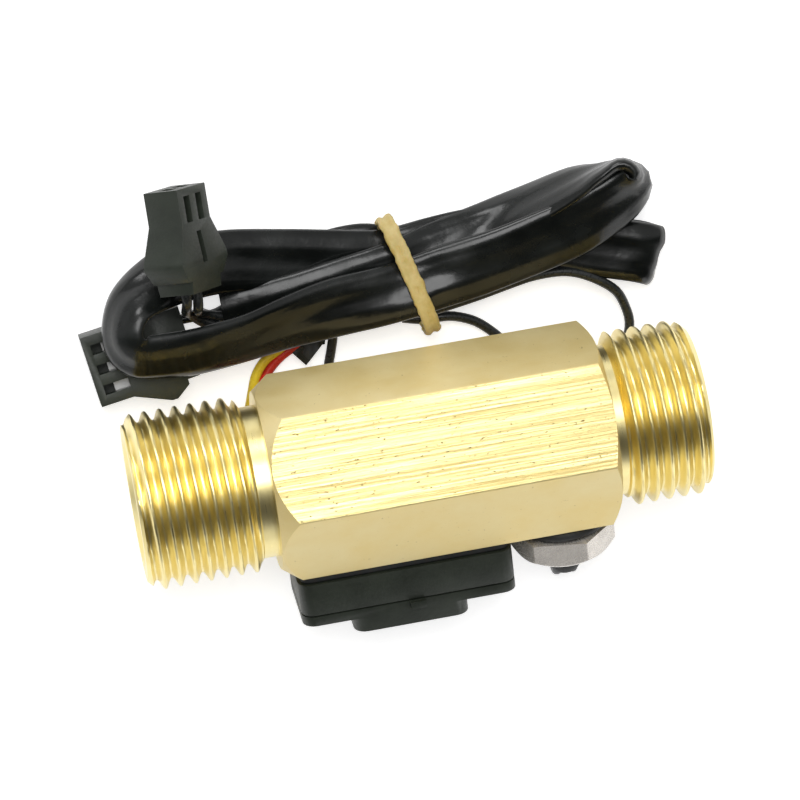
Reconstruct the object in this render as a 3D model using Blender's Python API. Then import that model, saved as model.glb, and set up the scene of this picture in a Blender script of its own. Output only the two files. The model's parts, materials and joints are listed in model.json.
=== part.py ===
# Brass pipe-body water flow sensor with a pulse pick-up, a temperature probe and a folded cable.
# Units are metres, +Z is up. The sensor lies on a flat surface: one edge of its hexagon and the
# lower edge of the pick-up cover touch it. X is the flow axis.

import math

import bmesh
import bpy
from mathutils import Matrix, Vector

MM = 0.001

# Clearances
SEAT_GAP = 0.2 * MM          # between pieces that are clamped or pressed together
RUNNING_GAP = 0.35 * MM      # between a turning piece and a fixed one
CORD_GAP = 0.3 * MM          # where a cord meets the piece that it enters
WELD_DISTANCE = 0.001 * MM

# Brass body, along X from the inlet end
BODY_LENGTH = 67.6 * MM
INLET_THREAD_LENGTH = 14.2 * MM
INLET_NECK_LENGTH = 2.3 * MM
OUTLET_THREAD_LENGTH = 8.44 * MM
OUTLET_NECK_LENGTH = 1.6 * MM
THREAD_DIAMETER = 20.955 * MM
THREAD_DEPTH = 1.162 * MM
THREAD_PITCH = 1.814 * MM
INLET_THREAD_PHASE = 0.29       # where the crest line starts, in turns
OUTLET_THREAD_PHASE = 0.71
THREAD_END_CHAMFER = 1.1 * MM
NECK_DIAMETER = 18.0 * MM
HEX_ACROSS_FLATS = 21.4 * MM
HEX_END_DIAMETER = 22.5 * MM
HEX_END_SLOPE = math.radians(30)
CHAMBER_BORE = 13.5 * MM
OUTLET_BORE = 11.5 * MM
BORE_ENTRY_CHAMFER = 0.7 * MM

# Turbine train inside the chamber
GUIDE_LENGTH = 6.6 * MM
GUIDE_VANES = 5
GUIDE_TWIST = math.radians(24)
GUIDE_NOSE_LENGTH = 0.9 * MM
CARRIER_WALL = 0.9 * MM
VANE_THICKNESS = 0.8 * MM
GUIDE_HUB_RADIUS = 2.6 * MM
ROTOR_BLADE_LENGTH = 8.8 * MM
ROTOR_BLADES = 6
ROTOR_TWIST = math.radians(48)
ROTOR_HUB_RADIUS = 3.0 * MM
BLADE_THICKNESS = 0.9 * MM
JOURNAL_RADIUS = 2.3 * MM
MAGNET_LENGTH = 4.4 * MM
MAGNET_RADIUS = 5.2 * MM
SUPPORT_LENGTH = 4.4 * MM
SUPPORT_RIBS = 3
SHAFT_RADIUS = 0.75 * MM
BEARING_RADIUS = 1.5 * MM
BEARING_LENGTH = 2.8 * MM
RETAINER_THICKNESS = 0.8 * MM
RETAINER_WIDTH = 1.3 * MM
RETAINER_GROOVE_DEPTH = 0.5 * MM

# Pick-up housing on the sensor face of the hexagon
SENSOR_CENTRE = -3.55 * MM
HOUSING_LENGTH = 25.8 * MM
HOUSING_WIDTH = 12.06 * MM
HOUSING_HEIGHT = 4.1 * MM
HOUSING_WALL = 1.0 * MM
HOUSING_CORNER = 1.6 * MM
GASKET_THICKNESS = 0.6 * MM
NOSE_LENGTH = 5.4 * MM
NOSE_WIDTH = 4.6 * MM
NOSE_DEPTH = 2.3 * MM
LID_THICKNESS = 1.2 * MM
BOSS_HEIGHT = 1.9 * MM
BOSS_END_GAP = 5.95 * MM        # from the housing's end to the boss
SCREW_END_GAP = 2.5 * MM        # from the housing's end to the screw's middle
SCREW_POST_WALL = 0.9 * MM
BOARD_THICKNESS = 0.8 * MM
BOARD_END_GAP = 0.35 * MM       # to the screw posts
BOARD_SIDE_GAP = 0.43 * MM      # to the housing's walls
COMPONENT_GAP = 1.35 * MM       # from the board's components to the boss's hollow
CABLE_EXIT_OFFSET = 8.0 * MM     # from the sensor's middle to the wires' opening
CABLE_EXIT_LENGTH = 4.8 * MM
GROMMET_RECESS = 0.45 * MM
SCREW_DIAMETER = 2.5 * MM
SCREW_HEAD_DIAMETER = 3.7 * MM
SCREW_HEAD_HEIGHT = 1.25 * MM
SCREW_SINK = 0.45 * MM
SCREW_GRIP = 2.3 * MM

# Temperature probe screwed into the same face
PROBE_HEX = 11.0 * MM
PROBE_SIDE_GAP = 0.599 * MM     # from the housing's end to the hexagon's corner
PROBE_HEAD_HEIGHT = 3.3 * MM
PROBE_STANDOFF = 1.9 * MM
PROBE_TURN = math.radians(6)
PROBE_THREAD_DIAMETER = 8.0 * MM
PROBE_TIP_DIAMETER = 4.0 * MM
PROBE_TIP_REACH = 4.4 * MM
PROBE_TIP_BORE = 2.6 * MM
PROBE_WELL_RADIUS = 2.9 * MM
POTTING_RISE = 0.6 * MM
POTTING_BEVEL = 0.5 * MM
BEAD_LENGTH = 2.4 * MM
BEAD_RADIUS = 0.8 * MM

# Cable, plugs and band
WIRE_DIAMETER = 1.2 * MM
PIN_PITCH = 2.5 * MM
HANK_HEIGHT = 6.8 * MM
BAND_WIDTH = 2.6 * MM
BAND_THICKNESS = 1.0 * MM

ROUND_SIDES = 48
CARRIER_SIDES = 36
THREAD_SIDES = 34
SMALL_SIDES = 20

# Places worked out from the sizes above; x is measured from the middle of the body
INLET_END = -BODY_LENGTH / 2
OUTLET_END = BODY_LENGTH / 2
HEX_START = INLET_END + INLET_THREAD_LENGTH + INLET_NECK_LENGTH
HEX_END = OUTLET_END - OUTLET_THREAD_LENGTH - OUTLET_NECK_LENGTH
FACE_HEIGHT = HEX_ACROSS_FLATS / 2
HEX_CORNER = HEX_ACROSS_FLATS / math.sqrt(3)
CHAMBER_RADIUS = CHAMBER_BORE / 2
OUTLET_RADIUS = OUTLET_BORE / 2

MAGNET_START = SENSOR_CENTRE - MAGNET_LENGTH / 2
MAGNET_END = SENSOR_CENTRE + MAGNET_LENGTH / 2
BLADE_END = MAGNET_START - SEAT_GAP
BLADE_START = BLADE_END - ROTOR_BLADE_LENGTH
JOURNAL_END = MAGNET_END + SEAT_GAP
GUIDE_BACK = BLADE_START - RUNNING_GAP
GUIDE_FRONT = GUIDE_BACK - GUIDE_LENGTH
SUPPORT_START = JOURNAL_END + RUNNING_GAP
SUPPORT_END = SUPPORT_START + SUPPORT_LENGTH
SHOULDER = SUPPORT_END + SEAT_GAP
RETAINER_BACK = GUIDE_FRONT - SEAT_GAP
CARRIER_RADIUS = CHAMBER_RADIUS - SEAT_GAP

HOUSING_END = SENSOR_CENTRE + HOUSING_LENGTH / 2
BOSS_LENGTH = HOUSING_LENGTH - 2 * BOSS_END_GAP
SCREW_SPACING = HOUSING_LENGTH - 2 * SCREW_END_GAP
SCREW_POST_RADIUS = SCREW_DIAMETER / 2 + SEAT_GAP + SCREW_POST_WALL
BOARD_LENGTH = SCREW_SPACING - 2 * (SCREW_POST_RADIUS + BOARD_END_GAP)
BOARD_WIDTH = HOUSING_WIDTH - 2 * (HOUSING_WALL + BOARD_SIDE_GAP)
PROBE_POSITION = HOUSING_END + PROBE_SIDE_GAP + PROBE_HEX / math.sqrt(3)

GASKET_BASE = FACE_HEIGHT + SEAT_GAP
HOUSING_BASE = GASKET_BASE + GASKET_THICKNESS + SEAT_GAP
HOUSING_FLOOR = HOUSING_BASE + HOUSING_WALL
HOUSING_RIM = HOUSING_BASE + HOUSING_HEIGHT
LID_BASE = HOUSING_RIM + SEAT_GAP
LID_FACE = LID_BASE + LID_THICKNESS
BOSS_FACE = LID_FACE + BOSS_HEIGHT
BOARD_BASE = HOUSING_RIM - BOARD_THICKNESS - 0.5 * MM
NOSE_BASE = HOUSING_BASE - NOSE_DEPTH
SCREW_SEAT = LID_FACE - SCREW_SINK + SEAT_GAP
SCREW_TIP = FACE_HEIGHT - SCREW_GRIP
PROBE_BASE = FACE_HEIGHT + PROBE_STANDOFF
PROBE_TOP = PROBE_BASE + PROBE_HEAD_HEIGHT
PROBE_TIP = OUTLET_RADIUS - PROBE_TIP_REACH

# The lying attitude: the hexagon's edge and the boss's edge are level
ROLL = math.pi - math.atan2(BOSS_FACE, HEX_CORNER - HOUSING_WIDTH / 2)
AXIS_HEIGHT = HEX_CORNER * math.sin(ROLL)
LOW_Y = -BOSS_FACE * math.sin(ROLL) + HOUSING_WIDTH / 2 * math.cos(ROLL)
HIGH_Y = HEX_CORNER * math.cos(ROLL + math.radians(240))
AXIS_Y = -(LOW_Y + HIGH_Y) / 2


def clear_scene():
    for item in list(bpy.data.objects):
        bpy.data.objects.remove(item, do_unlink=True)


def finish(name, colour, roughness, metallic=0.0):
    made = bpy.data.materials.new(name)
    made.use_nodes = True
    shader = made.node_tree.nodes["Principled BSDF"]
    shader.inputs["Base Color"].default_value = (*colour, 1.0)
    shader.inputs["Roughness"].default_value = roughness
    shader.inputs["Metallic"].default_value = metallic
    made.diffuse_color = (*colour, 1.0)
    return made


def add_empty(name, location, rotation=(0, 0, 0), parent=None):
    holder = bpy.data.objects.new(name, None)
    holder.location = location
    holder.rotation_euler = rotation
    holder.parent = parent
    bpy.context.collection.objects.link(holder)
    return holder


def add_solid(name, shape, surface=None, parent=None, sharp=30):
    mesh = bpy.data.meshes.new(name)
    bmesh.ops.recalc_face_normals(shape, faces=shape.faces)
    shape.to_mesh(mesh)
    shape.free()
    mesh.shade_smooth()
    mesh.set_sharp_from_angle(angle=math.radians(sharp))
    if surface:
        mesh.materials.append(surface)
    solid = bpy.data.objects.new(name, mesh)
    solid.parent = parent
    bpy.context.collection.objects.link(solid)
    return solid


# Joins the doubled corners that a cut can leave.
def weld(mesh):
    shape = bmesh.new()
    shape.from_mesh(mesh)
    bmesh.ops.remove_doubles(shape, verts=shape.verts, dist=WELD_DISTANCE)
    bmesh.ops.dissolve_degenerate(shape, edges=shape.edges, dist=WELD_DISTANCE)
    shape.to_mesh(mesh)
    shape.free()


# Applies boolean steps in turn: each step is an operation and the shape it uses.
def combine(solid, steps):
    for operation, shape in steps:
        tool = add_solid("tool", shape)
        change = solid.modifiers.new("step", "BOOLEAN")
        change.operation = operation
        change.solver = "EXACT"
        change.object = tool
        kept_parent = solid.parent
        solid.parent = None
        bpy.context.view_layer.update()
        evaluated = solid.evaluated_get(bpy.context.evaluated_depsgraph_get())
        result = bpy.data.meshes.new_from_object(evaluated)
        weld(result)
        solid.modifiers.remove(change)
        old = solid.data
        solid.data = result
        result.name = solid.name
        solid.parent = kept_parent
        bpy.data.meshes.remove(old)
        bpy.data.objects.remove(tool, do_unlink=True)
    solid.data.shade_smooth()
    solid.data.set_sharp_from_angle(angle=math.radians(30))
    return solid


# Turns a profile of (radius, height) points about Z. An open profile starts and ends at radius
# zero; a closed one makes a ring.
def lathe(profile, sides, closed=False, first_angle=0.0):
    shape = bmesh.new()
    rings = []
    for radius, height in profile:
        if radius < 1e-7:
            rings.append([shape.verts.new((0, 0, height))])
            continue
        ring = []
        for step in range(sides):
            angle = first_angle + 2 * math.pi * step / sides
            ring.append(shape.verts.new((radius * math.cos(angle), radius * math.sin(angle), height)))
        rings.append(ring)
    pairs = list(zip(rings, rings[1:]))
    if closed:
        pairs.append((rings[-1], rings[0]))
    for low, high in pairs:
        for step in range(sides):
            after = (step + 1) % sides
            corners = [low[step % len(low)], low[after % len(low)],
                       high[after % len(high)], high[step % len(high)]]
            distinct = list(dict.fromkeys(corners))
            if len(distinct) > 2:
                shape.faces.new(distinct)
    return shape


def along_x(shape):
    bmesh.ops.rotate(shape, cent=(0, 0, 0), matrix=Matrix.Rotation(math.pi / 2, 3, "Y"), verts=shape.verts)
    return shape


def moved(shape, offset):
    bmesh.ops.translate(shape, vec=offset, verts=shape.verts)
    return shape


def turned(shape, angle, axis):
    bmesh.ops.rotate(shape, cent=(0, 0, 0), matrix=Matrix.Rotation(angle, 3, axis), verts=shape.verts)
    return shape


# A revolved piece about the flow axis, from a profile of (x, radius) points.
def turned_on_axis(profile, sides=ROUND_SIDES, closed=False):
    return along_x(lathe([(radius, x) for x, radius in profile], sides, closed))


# A rod or ring about the flow axis.
def axial_ring(start, end, outer, inner=0.0, sides=ROUND_SIDES):
    if inner > 0:
        return turned_on_axis([(start, inner), (start, outer), (end, outer), (end, inner)], sides, True)
    return turned_on_axis([(start, 0), (start, outer), (end, outer), (end, 0)], sides)


# A threaded stub about the flow axis, from a right-handed screw cut to a turned outline. The
# screw's crest and root lines run side by side, and each of its ends closes on the axis.
def threaded_stub(outline, phase):
    sides, pitch = THREAD_SIDES, THREAD_PITCH
    crest = THREAD_DIAMETER / 2
    low, high = outline[0][0], outline[-1][0]
    base = math.floor(low / pitch - phase) - 2
    last = 2 * (math.ceil(high / pitch - phase) + 1 - base)
    shape = bmesh.new()
    rows = []
    for j in range(last + 1):
        radius = crest - THREAD_DEPTH * (j % 2)
        rows.append([shape.verts.new((pitch * (base + phase + j / 2 + k / sides),
                                      radius * math.cos(2 * math.pi * k / sides),
                                      radius * math.sin(2 * math.pi * k / sides))) for k in range(sides)])
    for j in range(last):
        for k in range(sides - 1):
            shape.faces.new([rows[j][k], rows[j][k + 1], rows[j + 1][k + 1], rows[j + 1][k]])
        if j + 3 <= last:
            shape.faces.new([rows[j][-1], rows[j + 2][0], rows[j + 3][0], rows[j + 1][-1]])
    for loop, x in ((rows[0] + [rows[2][0], rows[1][0]], rows[1][0].co.x),
                    (rows[last] + [rows[last - 1][-1], rows[last - 2][-1]], rows[last - 1][-1].co.x)):
        middle = shape.verts.new((x, 0, 0))
        for first, second in zip(loop, loop[1:] + loop[:1]):
            shape.faces.new([first, second, middle])
    stub = combine(add_solid("stub", shape), [("INTERSECT", turned_on_axis(outline))])
    result = bmesh.new()
    result.from_mesh(stub.data)
    bpy.data.objects.remove(stub, do_unlink=True)
    return result


# A straight rod along Z.
def rod(x, y, low, high, radius, sides=SMALL_SIDES):
    return moved(lathe([(0, low), (radius, low), (radius, high), (0, high)], sides), (x, y, 0))


def prism(outline, low, high):
    shape = bmesh.new()
    base = shape.faces.new([shape.verts.new((x, y, low)) for x, y in outline])
    grown = bmesh.ops.extrude_face_region(shape, geom=[base])
    lifted = [item for item in grown["geom"] if isinstance(item, bmesh.types.BMVert)]
    bmesh.ops.translate(shape, vec=(0, 0, high - low), verts=lifted)
    return shape


def block(low_corner, high_corner):
    (x0, y0, z0), (x1, y1, z1) = low_corner, high_corner
    return prism([(x0, y0), (x1, y0), (x1, y1), (x0, y1)], z0, z1)


def rounded_rectangle(length, width, corner, centre=(0.0, 0.0), steps=5):
    points = []
    for turn, (sx, sy) in enumerate([(1, 1), (-1, 1), (-1, -1), (1, -1)]):
        for step in range(steps + 1):
            angle = math.pi / 2 * (turn + step / steps)
            points.append((centre[0] + sx * (length / 2 - corner) + corner * math.cos(angle),
                           centre[1] + sy * (width / 2 - corner) + corner * math.sin(angle)))
    return points


def polygon(count, across_flats, turn=0.0):
    corner = across_flats / 2 / math.cos(math.pi / count)
    return [(corner * math.cos(turn + 2 * math.pi * k / count),
             corner * math.sin(turn + 2 * math.pi * k / count)) for k in range(count)]


# A hub outline with straight-sided blades, swept along the flow axis while it turns.
def bladed_sweep(start, end, hub, tip, blades, thickness, twist, stations=8, lead=0.0):
    shape = bmesh.new()
    sections = []
    for station in range(stations + 1):
        share = station / stations
        trim = lead * max(0.0, 1 - 3.5 * min(share, 1 - share)) ** 2
        reach = tip - trim
        ring = []
        for blade in range(blades):
            middle = 2 * math.pi * blade / blades + twist * share
            half_root = math.asin(thickness / 2 / hub)
            half_tip = math.asin(thickness / 2 / reach)
            gap = 2 * math.pi / blades - 2 * half_root
            stops = [(hub, middle - half_root), (reach, middle - half_tip),
                     (reach, middle + half_tip), (hub, middle + half_root),
                     (hub, middle + half_root + gap / 3), (hub, middle + half_root + 2 * gap / 3)]
            x = start + (end - start) * share
            for radius, angle in stops:
                ring.append(shape.verts.new((x, radius * math.cos(angle), radius * math.sin(angle))))
        sections.append(ring)
    count = len(sections[0])
    for before, after in zip(sections, sections[1:]):
        for k in range(count):
            following = (k + 1) % count
            shape.faces.new([before[k], before[following], after[following], after[k]])
    shape.faces.new(sections[0])
    shape.faces.new(list(reversed(sections[-1])))
    return shape


# Reads points off a smooth curve through the given route, about one each spacing.
def smooth_route(route, spacing, closed=False):
    points = [Vector(point) for point in route]
    count = len(points)
    dense = []
    spans = count if closed else count - 1
    for k in range(spans):
        if closed:
            four = [points[(k + j) % count] for j in (-1, 0, 1, 2)]
        else:
            four = [points[max(0, min(count - 1, k + j))] for j in (-1, 0, 1, 2)]
        for step in range(12):
            t = step / 12
            a, b, c, d = four
            dense.append(0.5 * ((2 * b) + (c - a) * t + (2 * a - 5 * b + 4 * c - d) * t * t
                                + (3 * b - a - 3 * c + d) * t * t * t))
    dense.append(points[0].copy() if closed else points[-1])
    lengths = [0.0]
    for before, after in zip(dense, dense[1:]):
        lengths.append(lengths[-1] + (after - before).length)
    pieces = max(2, round(lengths[-1] / spacing))
    result = []
    index = 0
    for step in range(pieces + (0 if closed else 1)):
        target = lengths[-1] * step / pieces
        while index < len(dense) - 2 and lengths[index + 1] < target:
            index += 1
        span = lengths[index + 1] - lengths[index]
        result.append(dense[index].lerp(dense[index + 1], (target - lengths[index]) / span))
    return result


def add_tube(name, route, diameter, surface, spacing):
    curve = bpy.data.curves.new(name, "CURVE")
    curve.dimensions = "3D"
    curve.bevel_depth = diameter / 2
    curve.bevel_resolution = 2
    curve.use_fill_caps = True
    points = [Vector(route[0])] + smooth_route(route[1:], spacing)
    spline = curve.splines.new("POLY")
    spline.points.add(len(points) - 1)
    for place, point in zip(spline.points, points):
        place.co = (*point, 1.0)
    curve.materials.append(surface)
    tube = bpy.data.objects.new(name, curve)
    bpy.context.collection.objects.link(tube)
    return tube


# A point of the lying sensor: x from the body's middle, y from the flow axis, z from the surface.
def lying(x, y, z):
    return (x * MM, AXIS_Y + y * MM, z * MM)


# The same point for a place given in the sensor's own frame.
def from_sensor(x, y, z):
    return (x, AXIS_Y + y * math.cos(ROLL) - z * math.sin(ROLL),
            AXIS_HEIGHT + y * math.sin(ROLL) + z * math.cos(ROLL))


def make_brass_body(parent, surface):
    slope = math.tan(HEX_END_SLOPE)
    end_radius = HEX_END_DIAMETER / 2
    over = HEX_CORNER + 0.3 * MM
    cone = (over - end_radius) / slope
    hexagon = prism(polygon(6, HEX_ACROSS_FLATS), HEX_START, HEX_END)
    turned(hexagon, math.pi / 2, "Y")
    turned(hexagon, math.pi / 2, "X")
    blank = turned_on_axis([(HEX_START - MM, 0), (HEX_START - MM, end_radius - slope * MM),
                            (HEX_START + cone, over), (HEX_END - cone, over),
                            (HEX_END + MM, end_radius - slope * MM), (HEX_END + MM, 0)])
    crest = THREAD_DIAMETER / 2
    neck = NECK_DIAMETER / 2
    run_out = crest - neck
    tip = crest - THREAD_END_CHAMFER
    past = 0.3 * MM
    inlet_neck = INLET_END + INLET_THREAD_LENGTH
    outlet_neck = OUTLET_END - OUTLET_THREAD_LENGTH
    spindle = turned_on_axis([(inlet_neck - MM, 0), (inlet_neck - MM, neck), (outlet_neck + MM, neck),
                              (outlet_neck + MM, 0)])
    inlet_stub = threaded_stub([
        (INLET_END, 0), (INLET_END, tip), (INLET_END + THREAD_END_CHAMFER + past, crest + past),
        (inlet_neck - run_out - past, crest + past), (inlet_neck + past, neck - past),
        (inlet_neck + past, 0)], INLET_THREAD_PHASE)
    outlet_stub = threaded_stub([
        (outlet_neck - past, 0), (outlet_neck - past, neck - past),
        (outlet_neck + run_out + past, crest + past),
        (OUTLET_END - THREAD_END_CHAMFER - past, crest + past), (OUTLET_END, tip),
        (OUTLET_END, 0)], OUTLET_THREAD_PHASE)
    entry = BORE_ENTRY_CHAMFER
    groove = CHAMBER_RADIUS + RETAINER_GROOVE_DEPTH
    groove_back = RETAINER_BACK + SEAT_GAP
    groove_front = RETAINER_BACK - RETAINER_THICKNESS - SEAT_GAP
    bore = turned_on_axis([
        (INLET_END - MM, 0), (INLET_END - MM, CHAMBER_RADIUS + entry + MM),
        (INLET_END + entry, CHAMBER_RADIUS), (groove_front, CHAMBER_RADIUS), (groove_front, groove),
        (groove_back, groove), (groove_back, CHAMBER_RADIUS), (SHOULDER, CHAMBER_RADIUS),
        (SHOULDER, OUTLET_RADIUS), (OUTLET_END - entry, OUTLET_RADIUS),
        (OUTLET_END + MM, OUTLET_RADIUS + entry + MM), (OUTLET_END + MM, 0)])
    reach, side = NOSE_LENGTH / 2 + SEAT_GAP, NOSE_WIDTH / 2 + SEAT_GAP
    pocket = block((SENSOR_CENTRE - reach, -side, NOSE_BASE - SEAT_GAP),
                   (SENSOR_CENTRE + reach, side, FACE_HEIGHT + MM))
    steps = [("INTERSECT", blank), ("UNION", spindle), ("UNION", inlet_stub), ("UNION", outlet_stub),
             ("DIFFERENCE", bore), ("DIFFERENCE", pocket)]
    for side in (-1, 1):
        x = SENSOR_CENTRE + side * SCREW_SPACING / 2
        steps.append(("DIFFERENCE", rod(x, 0, SCREW_TIP - SEAT_GAP, FACE_HEIGHT + MM,
                                        SCREW_DIAMETER / 2 + SEAT_GAP)))
    steps.append(("DIFFERENCE", rod(PROBE_POSITION, 0, 0.0, FACE_HEIGHT + MM,
                                    PROBE_THREAD_DIAMETER / 2 + SEAT_GAP, 32)))
    return combine(add_solid("brass_body", hexagon, surface, parent), steps)


# A ring with a hub held by vanes: the flow guide ahead of the rotor, and the support behind it.
def make_carrier(name, start, end, hub, vanes, twist, bearing_from, bearing_to, nose, parent, surface):
    ring = axial_ring(start, end, CARRIER_RADIUS, CARRIER_RADIUS - CARRIER_WALL, CARRIER_SIDES)
    reach = CARRIER_RADIUS - CARRIER_WALL / 2
    inset = 0.4 * MM
    vane_set = bladed_sweep(start + inset, end - inset, hub - 0.3 * MM, reach, vanes, VANE_THICKNESS, twist,
                           6 if twist else 1)
    front, back = (start - nose, end) if nose > 0 else (start, end - nose)
    taper = 0.9 * MM
    profile = [(front, 0), (front, hub - taper), (front + taper, hub), (back, hub), (back, 0)]
    if nose < 0:
        profile = [(front, 0), (front, hub), (back - taper, hub), (back, hub - taper), (back, 0)]
    seat = axial_ring(bearing_from, bearing_to, BEARING_RADIUS + SEAT_GAP, sides=SMALL_SIDES)
    hub_shape = turned_on_axis(profile, SMALL_SIDES)
    return combine(add_solid(name, ring, surface, parent),
                   [("UNION", vane_set), ("UNION", hub_shape), ("DIFFERENCE", seat)])


def make_turbine(parent, rotor_parent, surfaces):
    nose = GUIDE_NOSE_LENGTH
    make_carrier("flow_guide", GUIDE_FRONT, GUIDE_BACK, GUIDE_HUB_RADIUS, GUIDE_VANES, GUIDE_TWIST,
                 GUIDE_BACK - BEARING_LENGTH - SEAT_GAP, GUIDE_BACK + MM, nose, parent, surfaces["plastic"])
    make_carrier("outlet_support", SUPPORT_START, SUPPORT_END, GUIDE_HUB_RADIUS, SUPPORT_RIBS, 0.0,
                 SUPPORT_START - MM, SUPPORT_START + BEARING_LENGTH + SEAT_GAP, -nose, parent,
                 surfaces["plastic"])
    for name, start in (("front_bearing", GUIDE_BACK - BEARING_LENGTH), ("rear_bearing", SUPPORT_START)):
        bush = axial_ring(start, start + BEARING_LENGTH, BEARING_RADIUS, SHAFT_RADIUS + SEAT_GAP,
                          SMALL_SIDES)
        add_solid(name, bush, surfaces["bearing"], parent)

    tip = CHAMBER_RADIUS - RUNNING_GAP
    blades = bladed_sweep(BLADE_START, BLADE_END, ROTOR_HUB_RADIUS, tip, ROTOR_BLADES,
                          BLADE_THICKNESS, ROTOR_TWIST, 10, lead=0.9 * MM)
    journal = axial_ring(BLADE_END - MM, JOURNAL_END, JOURNAL_RADIUS, sides=32)
    shaft_hole = axial_ring(BLADE_START - MM, JOURNAL_END + MM, SHAFT_RADIUS + SEAT_GAP, sides=SMALL_SIDES)
    combine(add_solid("rotor", blades, surfaces["rotor"], rotor_parent),
            [("UNION", journal), ("DIFFERENCE", shaft_hole)])
    magnet = axial_ring(MAGNET_START, MAGNET_END, MAGNET_RADIUS, JOURNAL_RADIUS + SEAT_GAP, CARRIER_SIDES)
    add_solid("rotor_magnet", magnet, surfaces["magnet"], rotor_parent)
    shaft = axial_ring(GUIDE_BACK - BEARING_LENGTH, SUPPORT_START + BEARING_LENGTH, SHAFT_RADIUS, sides=16)
    add_solid("rotor_shaft", shaft, surfaces["steel"], rotor_parent)


# The snap ring that keeps the guide in: an open ring with an eye at each end.
def make_retaining_ring(parent, surface):
    outer = CHAMBER_RADIUS + RETAINER_GROOVE_DEPTH - SEAT_GAP
    inner = outer - RETAINER_WIDTH
    start = RETAINER_BACK - RETAINER_THICKNESS
    ring = axial_ring(start, RETAINER_BACK, outer, inner, CARRIER_SIDES)
    opening = block((start - MM, -1.1 * MM, 0), (RETAINER_BACK + MM, 1.1 * MM, outer + MM))
    steps = [("DIFFERENCE", opening)]
    for side in (-1, 1):
        place = (0, side * 1.9 * MM, inner - 0.1 * MM)
        eye = moved(axial_ring(start, RETAINER_BACK, 1.0 * MM, sides=16), place)
        hole = moved(axial_ring(start - MM, RETAINER_BACK + MM, 0.5 * MM, sides=12), place)
        steps += [("UNION", eye), ("DIFFERENCE", hole)]
    combine(add_solid("retaining_ring", ring, surface, parent), steps)


def housing_outline(inset=0.0):
    return rounded_rectangle(HOUSING_LENGTH - 2 * inset, HOUSING_WIDTH - 2 * inset,
                             max(HOUSING_CORNER - inset, 0.4 * MM), (SENSOR_CENTRE, 0))


def screw_places():
    return [SENSOR_CENTRE + side * SCREW_SPACING / 2 for side in (-1, 1)]


def make_gasket(parent, surface):
    plate = prism(housing_outline(0.35 * MM), GASKET_BASE, GASKET_BASE + GASKET_THICKNESS)
    gap = 2 * SEAT_GAP
    window = block((SENSOR_CENTRE - NOSE_LENGTH / 2 - gap, -NOSE_WIDTH / 2 - gap, FACE_HEIGHT),
                   (SENSOR_CENTRE + NOSE_LENGTH / 2 + gap, NOSE_WIDTH / 2 + gap, HOUSING_FLOOR))
    steps = [("DIFFERENCE", window)]
    steps += [("DIFFERENCE", rod(x, 0, FACE_HEIGHT, HOUSING_FLOOR, SCREW_DIAMETER / 2 + gap))
              for x in screw_places()]
    combine(add_solid("sensor_gasket", plate, surface, parent), steps)


# The wires leave through the long wall that lies towards the floor.
CABLE_EXIT = SENSOR_CENTRE - CABLE_EXIT_OFFSET
GROMMET_X = (CABLE_EXIT - CABLE_EXIT_LENGTH / 2, CABLE_EXIT + CABLE_EXIT_LENGTH / 2)
GROMMET_Z = (HOUSING_FLOOR - HOUSING_WALL / 2, HOUSING_FLOOR + 1.5 * MM)


def make_housing(parent, surface):
    wall = HOUSING_WALL
    tub = prism(housing_outline(), HOUSING_BASE, HOUSING_RIM)
    cavity = prism(housing_outline(wall), HOUSING_FLOOR, HOUSING_RIM + MM)
    steps = [("DIFFERENCE", cavity)]
    low = HOUSING_BASE + wall / 2
    for x in screw_places():
        steps.append(("UNION", rod(x, 0, low, HOUSING_RIM - 0.1 * MM, SCREW_POST_RADIUS)))
    for side in (-1, 1):
        y = side * (BOARD_WIDTH / 2 - 0.5 * MM)
        in_wall = side * HOUSING_WIDTH / 2 * 0.93
        ledge = block((SENSOR_CENTRE - 5 * MM, min(y, in_wall), low),
                      (SENSOR_CENTRE + 5 * MM, max(y, in_wall), BOARD_BASE - SEAT_GAP))
        steps.append(("UNION", ledge))
    nose = block((SENSOR_CENTRE - NOSE_LENGTH / 2, -NOSE_WIDTH / 2, NOSE_BASE),
                 (SENSOR_CENTRE + NOSE_LENGTH / 2, NOSE_WIDTH / 2, HOUSING_BASE + wall / 2))
    reach, side = NOSE_LENGTH / 2 - 0.5 * MM, NOSE_WIDTH / 2 - 0.5 * MM
    well = block((SENSOR_CENTRE - reach, -side, NOSE_BASE + 0.4 * MM),
                 (SENSOR_CENTRE + reach, side, HOUSING_FLOOR + MM / 2))
    steps += [("UNION", nose), ("DIFFERENCE", well)]
    for x in screw_places():
        steps.append(("DIFFERENCE", rod(x, 0, HOUSING_BASE - MM, HOUSING_RIM + MM,
                                        SCREW_DIAMETER / 2 + SEAT_GAP)))
    outside = -HOUSING_WIDTH / 2
    slot = block((GROMMET_X[0], outside - MM, GROMMET_Z[0]),
                 (GROMMET_X[1], outside + wall + 0.6 * MM, GROMMET_Z[1]))
    steps.append(("DIFFERENCE", slot))
    combine(add_solid("sensor_housing", tub, surface, parent), steps)


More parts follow.
